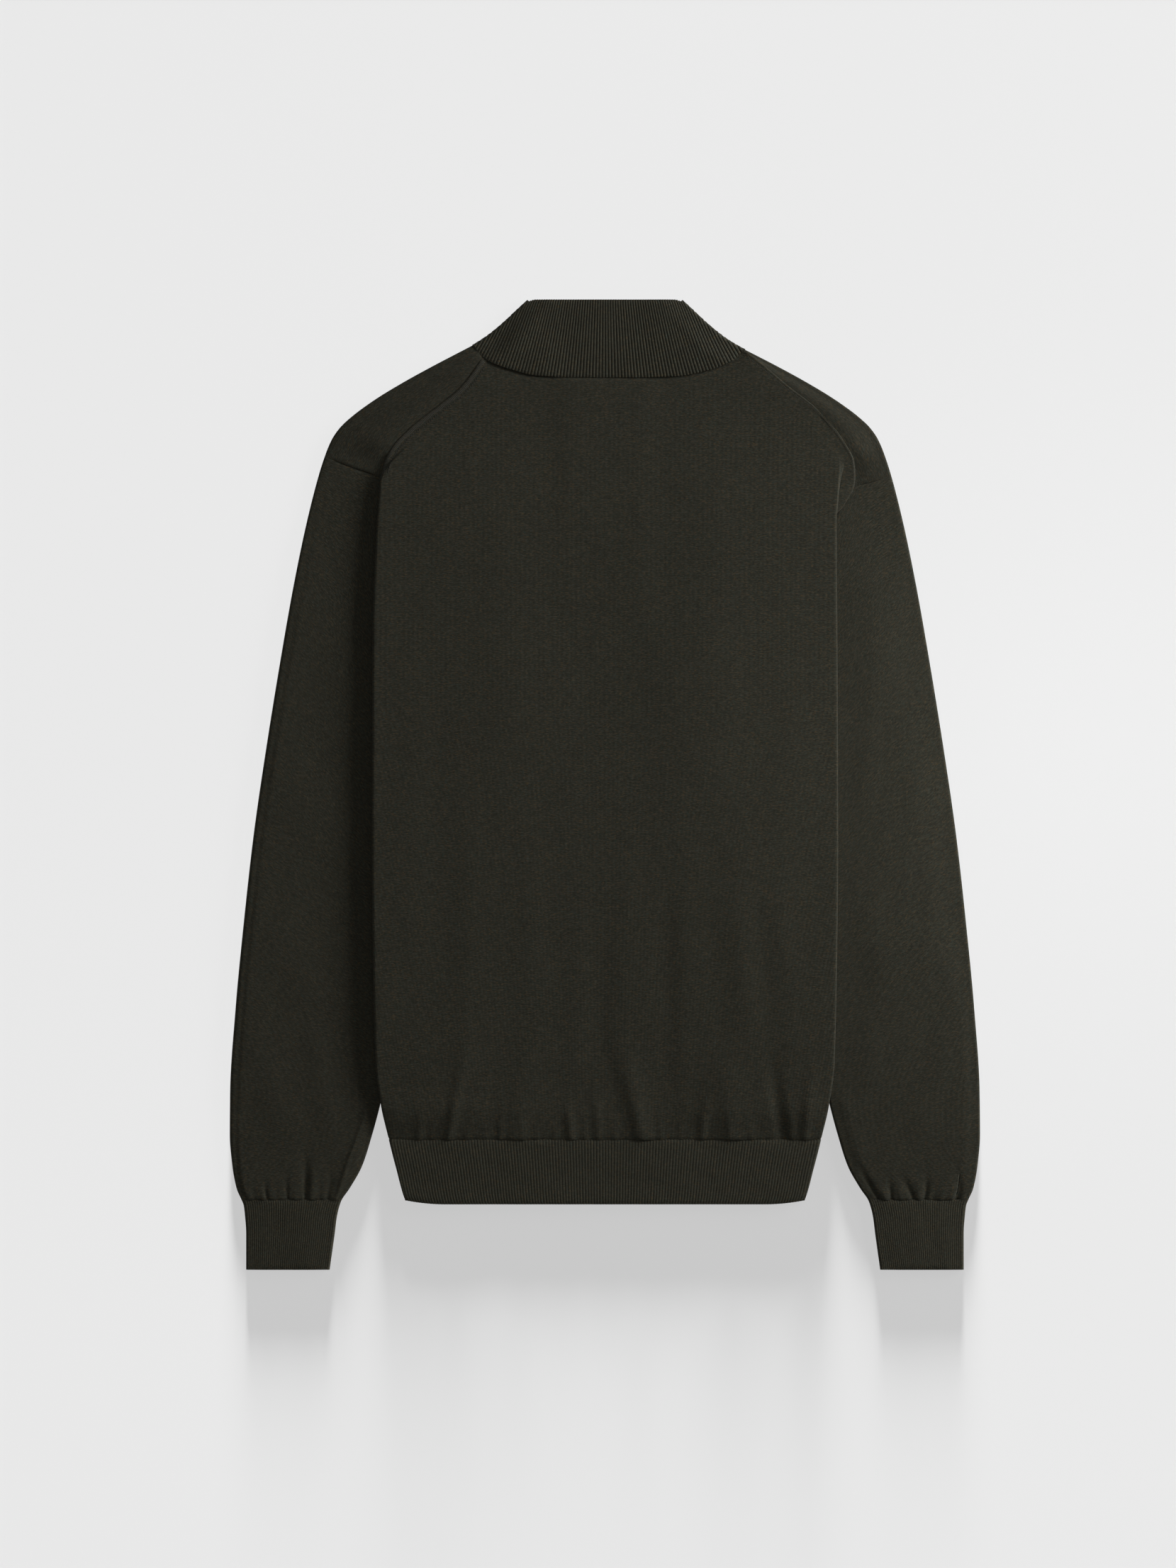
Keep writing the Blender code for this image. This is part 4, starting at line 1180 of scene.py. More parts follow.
def cuff(side, surface):
    """A ribbed cuff laid flat."""
    across = np.linspace(0.0, 1.0, 41)
    below = np.linspace(0.0, 1.0, 31)[1:-1]
    start = CUFF_SEAM - SEAM / 2
    ys = spaced_both(start, CUFF_END, 0.5, 0.5, 4.0)
    rows = []
    for y in ys:
        outer = np.array([half_width(y), y])
        inner = np.array([through(SLEEVE_INNER, y), y])
        rounding = np.minimum(across, 1 - across) * (outer[0] - inner[0])
        relief = 0.5 + ripple("cuff", across * 70.0, y, side)
        relief = relief - seam_dip("rib_seam", start - y) - seam_dip("cuff_end", y - CUFF_END)
        top_z = SLEEVE_TOP + relief * ramp(rounding / 20.0)
        rows.append(on_side(tube_row(outer, inner, across, top_z, below), side))
    name = f"cuff_{NAME[side]}_cloth"
    middle = evenly(rows, CUFF_PITCH)
    return ribbed(name, middle, ys, surface, CUFF_RIB, sign=side, closed=True)


def front_neck(side, share):
    """y of the collar's seam under the front: share 0 at the placket, 1 at the fold."""
    return FRONT_NECK + share**NECK_CURVE * (NECKLINE[side][-1][1] - FRONT_NECK)


def shoulder_strip(side, share, across):
    """One row of the front that wraps the shoulder: its fold, plan points and seam's y."""
    outer_y = ARMHOLE[side][-1][1]
    neck_y = NECKLINE[side][-1][1]
    top_y = BACK_SEAM[side][-1][0]
    fold_y = outer_y + SEAM / 2 + share * (neck_y - outer_y - SEAM)
    seam_y = SHOULDER_FROM + share * (top_y - SEAM - SHOULDER_FROM)
    # Only its first rows reach down to the corner of the armhole.
    seam_y = seam_y + (ARMHOLE_CORNER[side][1] + SEAM - SHOULDER_FROM) * (1 - share) ** 8
    fold = np.array([half_width(fold_y), fold_y])
    seam = np.array([through(BACK_SEAM[side], seam_y), seam_y])
    towards = plan_unit(fold - seam)
    # Its last rows face as the collar's fold does, and slip in under it.
    towards = plan_unit(towards + share**6 * (plan_unit(COLLAR_TURN) - towards))
    under_collar = NECK_INSET * share**16
    fold = fold - towards * under_collar
    turn = fold_edge(fold, towards, GROUND, SLEEVE_TOP - under_collar)
    seam = seam - TUCK * plan_unit(turn[-1, :2] - seam)
    return turn, turn[-1, :2] + across * (seam - turn[-1, :2]), seam_y


def strip_heights(side, share, strip, turn_z, across, length, seam_y):
    """Heights of a row of the strip that wraps a shoulder, from its fold to its seam."""
    at_corner = OPENED_LAST_Z - 0.1
    beside_back = back_edge(side, seam_y)[1][-1]
    seam_z = at_corner + (beside_back - at_corner) * ramp((seam_y - 250.0) / 20.0)
    toward_seam = ramp(across * 1.2)
    from_fold = across * length
    relief = 0.5 * ramp(from_fold / 12.0) * ramp((length - from_fold) / 12.0)
    relief = relief + ripple("shoulder", strip[:, 0], strip[:, 1], side)
    relief = relief - seam_dip("sleeve", share * SHOULDER_REACH)
    neck_dip = seam_dip("neck", (1 - share) * SHOULDER_REACH)
    return turn_z + (seam_z - turn_z - neck_dip) * toward_seam + relief * ramp(from_fold / 6.0)


def front_half(side):
    """Half of the front, its rows from the slit outward, and how many cross the body.

    Each row has BODY_COLUMNS points under the body, a few more up to the fold, the fold, and
    the strip that wraps the shoulder.  A row up to the armholes uses only the first ones.
    """
    body_shares = np.linspace(0.0, 1.0, BODY_COLUMNS)
    corner_x, corner_y = ARMHOLE_CORNER[side]
    outer_x, outer_y = ARMHOLE[side][-1]
    corner_share = (corner_x - SLIT) / (outer_x - 2.0 - SLIT)
    beyond = corner_share + (1 - corner_share) * np.array(BEYOND_CORNER)
    under = np.concatenate([body_shares * corner_share, beyond])
    across = np.array([*np.linspace(0.0, 0.9, 13)[1:], 0.94, 0.97, 0.985, 1.0])[:, None]
    _, first_strip, _ = shoulder_strip(side, 0.0, across)
    last_turn, last_strip, _ = shoulder_strip(side, 1.0, across)
    to_armhole = through(ARMHOLE[side], first_strip[:, 0]) + SEAM / 2 - first_strip[:, 1]
    from_turn = np.linalg.norm(last_strip - last_turn[-1, :2], axis=1)
    to_neck = neck_seam(side, last_strip[:, 0]) - SEAM / 2 + TUCK * ramp(from_turn / 6.0)
    to_neck -= last_strip[:, 1]
    rows = []
    for share in spaced_both(0.0, 1.0, 0.006, 0.006, 0.03):
        turn, strip, seam_y = shoulder_strip(side, share, across)
        past_corner = np.clip((under - corner_share) / (1 - corner_share), 0.0, 1.0)
        armhole_y = corner_y + (outer_y - corner_y) * past_corner
        low_y = np.minimum(armhole_y + SEAM, outer_y)
        under_x = SLIT + under * (turn[0, 0] - SLIT)
        under_y = low_y + share * (front_neck(side, under) - SEAM / 2 - low_y)
        under_z = GROUND + PLACKET_LIFT * over_placket(under_x, under_y, UNDER_REACH)
        length = np.linalg.norm(strip[-1] - turn[-1, :2])
        # The first and the last row follow the seams of the armhole and the neck.
        strip[:, 1] += to_armhole * (1 - share) ** SEAM_HOLD + to_neck * share**SEAM_HOLD
        strip_z = strip_heights(side, share, strip, turn[-1, 2], across[:, 0], length, seam_y)
        under_body = np.column_stack([under_x, under_y, under_z])
        rows.append(np.concatenate([under_body, turn, np.column_stack([strip, strip_z])]))

    body = []
    last_row = LAST_BODY_ROW[side]
    ys = spaced(HEM_SEAM + SEAM / 2, PLACKET_END - GAP, 0.5, 8.0)
    slit_row = len(ys) - 1
    for y in (*ys, *SLIT_ROWS, last_row):
        edge = body_side(side, y) - WALL_HALF - GAP - lap(side, y)
        if y >= SLIT_ROWS[-1]:
            edge -= BESIDE_LAP
        x = SLIT + body_shares * (edge - SLIT)
        z = lower(side * x, y)
        if side == RIGHT and y == last_row:
            # Under the right armhole it passes below the back's opened edge.
            edge = ARMHOLE_LOWEST_X - GAP
            x = SLIT + body_shares * (edge - SLIT)
            z = np.minimum(lower(side * x, y), UNDER_ARM_Z + (edge - x) * 0.2)
        row = rows[0].copy()
        row[:, 1] += y - SHOULDER_FROM
        row[:BODY_COLUMNS] = np.column_stack([x, np.full(x.shape, y), z])
        body.append(row)
    return on_side(np.array(body + rows), side), len(body), slit_row


def front_panel(surface):
    left, body_rows, slit_row = front_half(LEFT)
    right, _, _ = front_half(RIGHT)
    middle = np.concatenate([left[:, ::-1], right], axis=1)
    half = left.shape[1]
    beyond_body = half - BODY_COLUMNS
    missing = np.zeros((middle.shape[0] - 1, middle.shape[1] - 1), bool)
    missing[:body_rows, :beyond_body] = True
    missing[:body_rows, -beyond_body:] = True
    missing[slit_row:, half - 1] = True
    # Stitches run up the front, over the fold and down to the seam on the back.
    stitches = middle[..., :2] / np.array([WALE, COURSE])
    left_fold, right_fold = half - 1 - FOLD_COLUMN, half + FOLD_COLUMN
    lengths = arc(middle)
    for fold, wrapped in (
        (left_fold, slice(left_fold + 1)),
        (right_fold, slice(right_fold, None)),
    ):
        steps = np.linalg.norm(np.diff(middle[:, fold], axis=0), axis=1)
        up_fold = np.concatenate([[0.0], np.cumsum(steps)])
        from_fold = np.abs(lengths - lengths[:, fold : fold + 1])
        stitches[:, wrapped, 0] = up_fold[:, None] / WALE
        stitches[:, wrapped, 1] = from_fold[:, wrapped] / COURSE
    return cloth("front", middle, stitches, surface, sign=-1, missing=missing)


def collar_turn(side, share):
    """Points round the collar's fold at one side, from below to above."""
    _, neck_y = NECKLINE[side][-1]
    fold_y = neck_y + SEAM / 2 + share * (COLLAR_TOP - neck_y - SEAM / 2)
    fold = np.array([half_width(fold_y), fold_y])
    return fold_edge(fold, plan_unit(COLLAR_TURN), GROUND, SLEEVE_TOP)


def spread(points, pitch):
    """Half of the collar's ribs along a row: `pitch` apart at first, then eased to its end."""
    length = np.linalg.norm(np.diff(points, axis=0), axis=1).sum()
    part = np.linspace(0.0, 1.0, COLLAR_HALF * PER_RIB + 1)
    at = part * COLLAR_HALF * pitch
    return along(points, (at + (length - at[-1]) * part**3) / length)


def collar(surface):
    """Stand collar laid flat: its ribbed back, both side folds, and its front under it."""
    rows, ys = [], []
    us = np.linspace(-1.0, 1.0, 161)
    under = np.linspace(0.0, 0.92, 20)
    for share in spaced_both(0.0, 1.0, 0.009, 0.007, 0.06):
        halves, turns = {}, {}
        for side in (LEFT, RIGHT):
            turn = collar_turn(side, share)
            base_y = front_neck(side, under) + SEAM / 2
            top_y = FRONT_COLLAR_TOP + under**NECK_CURVE * (COLLAR_TOP - FRONT_COLLAR_TOP)
            x = SLIT + under * (turn[0, 0] - SLIT)
            y = base_y + share * (top_y - base_y)
            z = GROUND + PLACKET_LIFT * over_placket(x, y, UNDER_REACH)
            halves[side] = np.concatenate([np.column_stack([x, y, z]), turn[:-1]])
            turns[side] = turn[-1]
        back = []
        for u in us:
            side = LEFT if u < 0 else RIGHT
            fold = turns[side]
            x = abs(u) * fold[0]
            base_y = neck_seam(side, abs(u) * collar_turn(side, 0.0)[-1, 0]) + SEAM / 2
            y = base_y + share * (COLLAR_TOP - base_y)
            end_y = collar_turn(side, 0.0)[-1, 1] + SEAM / 2
            end_y += share * (COLLAR_TOP - end_y)
            y += (fold[1] - end_y) * ramp(abs(u) * 12.0 - 11.0)
            inboard = (1 - abs(u)) * fold[0]
            middle_z = COLLAR_MIDDLE - COLLAR_FALL * ramp((share - 0.2) / 0.8)
            z = SLEEVE_TOP + (middle_z - SLEEVE_TOP) * ramp(inboard / 18.0)
            z += ripple("collar", x * side, y) * ramp(inboard / 10.0)
            z -= seam_dip("collar_seam", share * COLLAR_REACH) * ramp(inboard / 5.0)
            z -= seam_dip("collar_top", (1 - share) * COLLAR_REACH)
            back.append((math.copysign(x, u), y, z))
        left = on_side(halves[LEFT], LEFT)
        right = halves[RIGHT][::-1]
        back = np.array(back)
        centre = len(back) // 2
        pitch = COLLAR_PITCH + share * (COLLAR_TOP_PITCH - COLLAR_PITCH)
        left = spread(np.concatenate([left, back[: centre + 1]])[::-1], pitch)
        right = spread(np.concatenate([back[centre:], right]), pitch)
        rows.append(np.concatenate([left[:0:-1], right]))
        ys.append(share * COLLAR_HEIGHT)
    return ribbed("collar_cloth", np.array(rows), ys, surface, COLLAR_RIB)


def placket_band(name, middle_z, surface, buttonholes):
    """One ribbed band of the placket, laid flat, slit for the buttons if it is the outer one."""
    count = round(2 * PLACKET_HALF / BAND_PITCH)
    x = np.linspace(-PLACKET_HALF, PLACKET_HALF, count * PER_RIB + 1)
    ends = [PLACKET_END, FRONT_COLLAR_TOP]
    for y in BUTTONS_Y:
        ends += [y - BUTTONHOLE_HALF, y + BUTTONHOLE_HALF]
    ends.sort()
    ys = [ends[0]]
    for low, high in zip(ends, ends[1:]):
        ys += list(np.linspace(low, high, math.ceil((high - low) / 2.4) + 1)[1:])
    ys = np.array(ys)
    x, y = np.meshgrid(x, ys)
    rim = seam_dip("band_edge", PLACKET_HALF - np.abs(x))
    middle = np.stack([x, y, middle_z + rim], axis=-1)
    missing = None
    if buttonholes:
        at_y = (ys[1:] + ys[:-1]) / 2
        in_hole = np.min([np.abs(at_y - hole) for hole in BUTTONS_Y], axis=0) < BUTTONHOLE_HALF
        missing = np.zeros((len(ys) - 1, x.shape[1] - 1), bool)
        centre = x.shape[1] // 2
        missing[:, centre - 1 : centre + 1] = in_hole[:, None]
    return ribbed(name, middle, ys, surface, BAND_RIB, -1, pressed=False, missing=missing)


def buttonhole(name, y, surface):
    """Whipped stitches round a buttonhole, in one ring."""
    around, sides = 168, 8
    made = added(bpy.ops.mesh.primitive_torus_add, major_segments=around, minor_segments=sides)
    made.name = made.data.name = name
    turn = np.linspace(0.0, 2 * math.pi, around, endpoint=False)
    angle = np.linspace(0.0, 2 * math.pi, sides, endpoint=False)
    half_length = BUTTONHOLE_HALF + 0.6
    centre_x = np.cos(turn)
    centre_y = np.sign(np.sin(turn)) * np.abs(np.sin(turn)) ** 0.8 * half_length
    out = np.column_stack([np.cos(turn), np.sin(turn) * 0.6])
    out /= np.linalg.norm(out, axis=1, keepdims=True)
    thick = (HOLE_STITCH + HOLE_STITCH_WAVE * np.cos(turn * around / 4))[:, None]
    x = centre_x[:, None] + thick * np.cos(angle) * out[:, :1]
    ring_y = y + centre_y[:, None] + thick * np.cos(angle) * out[:, 1:]
    z = OVER_Z + HOLE_STITCH_TALL * thick * np.sin(angle)
    spots = np.stack([x, ring_y, z], axis=-1)
    made.data.vertices.foreach_set("co", (spots * MM).ravel())
    made.data.update()
    bpy.ops.object.shade_smooth()
    made.data.materials.append(surface)
    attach(made, "root")
    return made


def cylinder(x, y, low, high, radius, sides):
    return added(
        bpy.ops.mesh.primitive_cylinder_add,
        vertices=sides,
        radius=radius * MM,
        depth=(high - low) * MM,
        location=(x * MM, y * MM, (low + high) / 2 * MM),
    )


def button(y, surface):
    """A four-hole button, face down, with a rounded rim round a sunk face."""
    made = cylinder(0.0, y, 0.0, BUTTON_THICK, BUTTON_RADIUS, 64)
    rim = made.modifiers.new("rim", "BEVEL")
    rim.width = RIM_ROUNDING * MM
    rim.segments = 4
    rim.limit_method = "ANGLE"
    bpy.ops.object.modifier_apply(modifier=rim.name)
    lowest = min(made.data.polygons, key=lambda face: face.center.z)
    for face in made.data.polygons:
        face.select = face.index == lowest.index
    bpy.ops.object.mode_set(mode="EDIT")
    bpy.ops.mesh.select_mode(type="FACE")
    bpy.ops.mesh.inset(thickness=RIM_WIDTH * MM)
    bpy.ops.mesh.inset(thickness=RIM_WIDTH * MM, depth=-FACE_DEPTH * MM)
    bpy.ops.object.mode_set(mode="OBJECT")
    for x_sign, y_sign in ((-1, -1), (-1, 1), (1, -1), (1, 1)):
        at = (x_sign * HOLE_OUT, y + y_sign * HOLE_OUT)
        drill = cylinder(*at, -0.5, BUTTON_THICK + 0.5, HOLE_RADIUS, 16)
        hole = made.modifiers.new("hole", "BOOLEAN")
        hole.operation = "DIFFERENCE"
        hole.solver = "EXACT"
        hole.object = drill
        bpy.context.view_layer.objects.active = made
        bpy.ops.object.modifier_apply(modifier=hole.name)
        bpy.data.meshes.remove(drill.data)
    bpy.ops.object.select_all(action="DESELECT")
    made.select_set(True)
    bpy.ops.object.shade_smooth_by_angle(angle=math.radians(35.0))
    bpy.ops.object.transform_apply(location=True, rotation=True, scale=True)
    made.data.materials.append(surface)
    return made


def strand(points, radius):
    """A length of thread through these points, with closed ends."""
    made = added(bpy.ops.curve.primitive_nurbs_path_add)
    spline = made.data.splines[0]
    spline.points.add(len(points) - len(spline.points))
    for point, place in zip(spline.points, points):
        point.co = (*(value * MM for value in place), 1.0)
    spline.order_u = 3
    spline.resolution_u = 3
    spline.use_endpoint_u = True
    made.data.bevel_depth = radius * MM
    made.data.bevel_resolution = 2
    made.data.use_fill_caps = True
    bpy.ops.object.convert(target="MESH")
    return bpy.context.object


def sewing(y, surface):
    """Thread that holds a button: over its face, up through its holes and the buttonhole."""
    made = []
    for across in (-HOLE_OUT, HOLE_OUT):
        near = y + across * 0.35
        # From behind the bands down to the face of the button: x, y, z.
        half = [
            (0.25, near, UNDER_Z - 0.9),
            (0.25, near, 2.5),
            (HOLE_OUT - 0.2, y + across, 2.0),
            (HOLE_OUT, y + across, 1.2),
            (HOLE_OUT - 0.05, y + across, 0.45),
            (HOLE_OUT - 0.6, y + across, 0.32),
        ]
        other = [(-place[0], place[1], place[2]) for place in half[::-1]]
        made.append(strand(half + other, THREAD_RADIUS))
    bpy.ops.object.select_all(action="DESELECT")
    for piece in made:
        piece.select_set(True)
    bpy.context.view_layer.objects.active = made[0]
    bpy.ops.object.join()
    bpy.ops.object.shade_smooth()
    made[0].data.materials.append(surface)
    return made[0]


def copied(piece, name, shift_y):
    """A copy of a piece with a mesh of its own, moved along the placket."""
    bpy.ops.object.select_all(action="DESELECT")
    piece.select_set(True)
    bpy.context.view_layer.objects.active = piece
    bpy.ops.object.duplicate()
    made = bpy.context.object
    made.name = made.data.name = name
    bpy.ops.transform.translate(value=(0.0, shift_y * MM, 0.0))
    bpy.ops.object.transform_apply(location=True, rotation=True, scale=True)
    return made


def seam_points(side, inward, pitch, from_y, to_y):
    """Points along the seam of the back, set inward, and the way across the seam at each."""
    fine = np.linspace(from_y, to_y, 400)
    line = np.column_stack([through(BACK_SEAM[side], fine), fine, np.zeros(400)])
    length = np.linalg.norm(np.diff(line, axis=0), axis=1).sum()
    line = along(line, np.linspace(0.0, 1.0, round(length / pitch) + 1))[:, :2]
    direction = np.gradient(line, axis=0)
    direction /= np.linalg.norm(direction, axis=1, keepdims=True)
    inner = np.column_stack([-direction[:, 1], direction[:, 0]])
    mirror = np.array([side, 1.0])
    return (line + inward * inner) * mirror, inner * mirror


def stitch_row(name, on, places, towards, size, sunk, surface):
    """A row of short stitches on a piece: one is modelled, then copied to each place.

    towards: plan direction of each one's length.  size: length, width, height.
    """
    made = added(bpy.ops.mesh.primitive_uv_sphere_add, segments=8, ring_count=6, radius=0.5)
    made.name = made.data.name = name
    mesh = made.data
    one = np.array([vertex.co[:] for vertex in mesh.vertices]) * np.array(size)
    faces = [tuple(face.vertices) for face in mesh.polygons]
    spots, all_faces = [], []
    for place, ahead in zip(places, towards):
        start = ((place[0] + 0.001) * MM, place[1] * MM, LOOK_FROM * MM)
        hit, top, normal, _ = on.ray_cast(start, (0.0, 0.0, -1.0))
        if not hit:
            continue
        up = np.array(normal)
        forward = np.array([*ahead, 0.0])
        forward -= up * forward.dot(up)
        forward /= np.linalg.norm(forward)
        axes = np.array([forward, np.cross(up, forward), up])
        base = len(spots) * len(one)
        spots.append(np.array(top) / MM - up * sunk + one @ axes)
        all_faces += [tuple(base + corner for corner in face) for face in faces]
    mesh.clear_geometry()
    mesh.from_pydata(np.concatenate(spots) * MM, [], all_faces)
    mesh.update()
    bpy.ops.object.shade_smooth()
    made.data.materials.append(surface)
    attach(made, "root")
    return made


def set_inputs(node, values):
    """Set a node's inputs by their names."""
    for key, value in values.items():
        node.inputs[key].default_value = value


def nodes_of(name):
    """A new material, its tree and shader, and short ways to add nodes and to calculate."""
    made = bpy.data.materials.new(name)
    made.use_nodes = True
    tree = made.node_tree
    shader = tree.nodes["Principled BSDF"]

    def add(kind, **settings):
        node = tree.nodes.new(kind)
        for key, value in settings.items():
            setattr(node, key, value)
        return node

    def calc(operation, *values, clamp=False):
        node = add("ShaderNodeMath", operation=operation, use_clamp=clamp)
        for socket, value in zip(node.inputs, values):
            if isinstance(value, (int, float)):
                socket.default_value = value
            else:
                tree.links.new(value, socket)
        return node.outputs[0]

    return made, tree, shader, add, calc


def mixed(tree, add, share, first, second):
    """A colour between two others."""
    node = add("ShaderNodeMix", data_type="RGBA")
    tree.links.new(share, node.inputs[0])
    for socket, value in ((node.inputs[6], first), (node.inputs[7], second)):
        if isinstance(value, bpy.types.NodeSocket):
            tree.links.new(value, socket)
        else:
            socket.default_value = (*value, 1.0)
    return node.outputs[2]


def knit_material(name, stitch_depth, lightness, speckle):
    """Melange knit: stitches and the tones of the fibres, both from the piece's UV map."""
    made, tree, shader, add, calc = nodes_of(name)
    sizes = knit()
    uv = add("ShaderNodeUVMap", uv_map="stitches")
    split = add("ShaderNodeSeparateXYZ")
    tree.links.new(uv.outputs[0], split.inputs[0])
    wale, course = split.outputs[0], split.outputs[1]

    # Two slanting legs to each stitch.
    in_wale = calc("FRACT", wale)
    off_centre = calc("ABSOLUTE", calc("SUBTRACT", in_wale, 0.5))
    leg = calc("SINE", calc("MULTIPLY", calc("FRACT", calc("MULTIPLY", in_wale, 2.0)), math.pi))
    slanted = calc("ADD", course, calc("MULTIPLY", off_centre, 1.1))
    loop = calc("SINE", calc("MULTIPLY", calc("FRACT", slanted), math.pi))
    loop = calc("POWER", loop, 0.6)
    stitch = calc("MULTIPLY", leg, calc("ADD", calc("MULTIPLY", loop, 0.6), 0.4))

    # The tone changes along the yarn, and from one course to the next.
    def tone(along, across, detail, seed):
        place = add("ShaderNodeCombineXYZ")
        tree.links.new(calc("MULTIPLY", wale, along), place.inputs[0])
        tree.links.new(calc("MULTIPLY", course, across), place.inputs[1])
        place.inputs[2].default_value = seed
        noise = add("ShaderNodeTexNoise")
        set_inputs(noise, {"Scale": 1.0, "Detail": detail, "Roughness": 0.6})
        tree.links.new(place.outputs[0], noise.inputs["Vector"])
        return noise.outputs["Fac"]

    streak = tone(0.5, 1.35, 2.0, 1.7)
    fleck = tone(0.6, 1.5, 0.0, 7.3)
    other = tone(0.55, 1.4, 0.0, 13.1)
    broad = tone(0.03, 0.08, 2.0, 3.9)
    light = calc("MULTIPLY", calc("SUBTRACT", streak, 0.50), 2.4 * speckle, clamp=True)
    dark = calc("MULTIPLY", calc("SUBTRACT", 0.50, streak), 2.4 * speckle, clamp=True)
    tint = mixed(tree, add, light, sizes.yarn, sizes.light_fibre)
    tint = mixed(tree, add, dark, tint, sizes.dark_fibre)
    for noise, fibre in ((fleck, WARM_FIBRE), (other, COOL_FIBRE)):
        share = calc("MULTIPLY", calc("SUBTRACT", noise, 0.62), 8.0, clamp=True)
        tint = mixed(tree, add, calc("MULTIPLY", share, 0.45 * speckle), tint, fibre)
    shade = add("ShaderNodeHueSaturation")
    tree.links.new(tint, shade.inputs["Color"])
    # The legs of each stitch are painted lighter and the hollows between them darker, a painted
    # shade on top of the stitches' bump; the broad noise adds a tone that differs at random.
    value = calc("ADD", lightness - 0.16, calc("MULTIPLY", stitch, 0.22))
    value = calc("ADD", value, calc("MULTIPLY", calc("SUBTRACT", broad, 0.5), 0.10))
    tree.links.new(value, shade.inputs["Value"])
    tree.links.new(shade.outputs[0], shader.inputs["Base Color"])

    bump = add("ShaderNodeBump")
    set_inputs(bump, {"Strength": stitch_depth, "Distance": STITCH_RELIEF * MM})
    height = calc("ADD", stitch, calc("MULTIPLY", streak, 0.5 * speckle))
    tree.links.new(height, bump.inputs["Height"])
    tree.links.new(bump.outputs[0], shader.inputs["Normal"])
    set_inputs(shader, {"Roughness": 1.0, "Specular IOR Level": 0.05})
    set_inputs(shader, {"Sheen Weight": 0.03, "Sheen Roughness": 0.5})
    return made


def plain_material(name, tint, roughness):
    made, _, shader, _, _ = nodes_of(name)
    set_inputs(shader, {"Base Color": (*tint, 1.0), "Roughness": roughness})
    return made


def floor_material(name, tint, glow):
    """A matt surface that also glows a little by itself."""
    made = plain_material(name, tint, 1.0)
    shader = made.node_tree.nodes["Principled BSDF"]
    set_inputs(shader, {"Specular IOR Level": 0.0, "Emission Strength": glow})
    set_inputs(shader, {"Emission Color": (1.0, 1.0, 1.0, 1.0)})
    return made


def horn_material(name):
    """Dark horn: mottled, with a soft shine."""
    made, tree, shader, add, calc = nodes_of(name)
    place = add("ShaderNodeTexCoord")
    noise = add("ShaderNodeTexNoise")
    set_inputs(noise, {"Scale": 260.0, "Detail": 3.0})
    tree.links.new(place.outputs["Object"], noise.inputs["Vector"])
    share = calc("MULTIPLY", calc("SUBTRACT", noise.outputs["Fac"], 0.42), 5.0, clamp=True)
    tree.links.new(mixed(tree, add, share, *HORN), shader.inputs["Base Color"])
    set_inputs(shader, {"Roughness": 0.3})
    return made


def material(name, make, *looks):
    """The material of this name, made when it is first asked for."""
    return bpy.data.materials.get(name) or make(name, *looks)


def jersey_material():
    return material("plain_knit", knit_material, 0.7, 1.0, 1.0)


def rib_material():
    return material("rib_knit", knit_material, 0.35, 1.19, 0.75)


def seam_material(name, lightness):
    """Yarn of the main colour for stitches, its lightness scaled: above 1 it is a painted
    highlight, below 1 painted shade.
    """
    return material(name, plain_material, [part * lightness for part in knit().yarn], 0.95)


def thread_material():
    return material("thread", plain_material, THREAD, 0.8)


class SWEATER_OT_back(Operator):
    """Make the back, knitted to shape, with its sides turned under"""

    bl_idname = "sweater.back"
    bl_label = "Back"

    def execute(self, context):
        piece = back_panel(jersey_material())
        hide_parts("back_panel")
        return {"FINISHED"}


class SWEATER_OT_front(Operator):
    """Make the front, slit for its placket, which wraps over both shoulders"""

    bl_idname = "sweater.front"
    bl_label = "Front"

    def execute(self, context):
        piece = front_panel(jersey_material())
        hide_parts("front_panel")
        return {"FINISHED"}


class SWEATER_OT_sleeves(Operator):
    """Make both sleeves, tubes laid flat and gathered into the cuffs"""

    bl_idname = "sweater.sleeves"
    bl_label = "Sleeves"

    def execute(self, context):
        for side in (LEFT, RIGHT):
            piece = sleeve(side, jersey_material())
            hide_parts(f"sleeve_{NAME[side]}")
        return {"FINISHED"}


class SWEATER_OT_hem(Operator):
    """Make the ribbed hem, back and front"""

    bl_idname = "sweater.hem"
    bl_label = "Hem"

    def execute(self, context):
        for make, node, width, under in (
            (hem_back, "hem_rib_back", 0.40, "hem_front"),
            (hem_front, "hem_rib_front", 0.30, "floor"),
        ):
            piece = make(rib_material())
            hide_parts(node)
        return {"FINISHED"}


class SWEATER_OT_cuffs(Operator):
    """Make both ribbed cuffs"""

    bl_idname = "sweater.cuffs"
    bl_label = "Cuffs"

    def execute(self, context):
        for side in (LEFT, RIGHT):
            piece = cuff(side, rib_material())
            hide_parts(f"cuff_{NAME[side]}")
        return {"FINISHED"}


class SWEATER_OT_collar(Operator):
    """Make the ribbed stand collar"""

    bl_idname = "sweater.collar"
    bl_label = "Collar"

    def execute(self, context):
        piece = collar(rib_material())
        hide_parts("collar")
        return {"FINISHED"}


class SWEATER_OT_placket(Operator):
    """Make both bands of the placket, and the stitches round the buttonholes"""

    bl_idname = "sweater.placket"
    bl_label = "Placket"

    def execute(self, context):
        for name, node, height, buttonholes, under in (
            ("placket_outer_cloth", "placket_over", OVER_Z, True, "button_1"),
            ("placket_inner_cloth", "placket_under", UNDER_Z, False, "placket_outer_cloth"),
        ):
            piece = placket_band(name, height, rib_material(), buttonholes)
            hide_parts(node)
        first = buttonhole("buttonhole_1", BUTTONS_Y[0], thread_material())
        for index, y in enumerate(BUTTONS_Y[1:], start=2):
            made = copied(first, f"buttonhole_{index}", y - BUTTONS_Y[0])
            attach(made, "root")
        return {"FINISHED"}


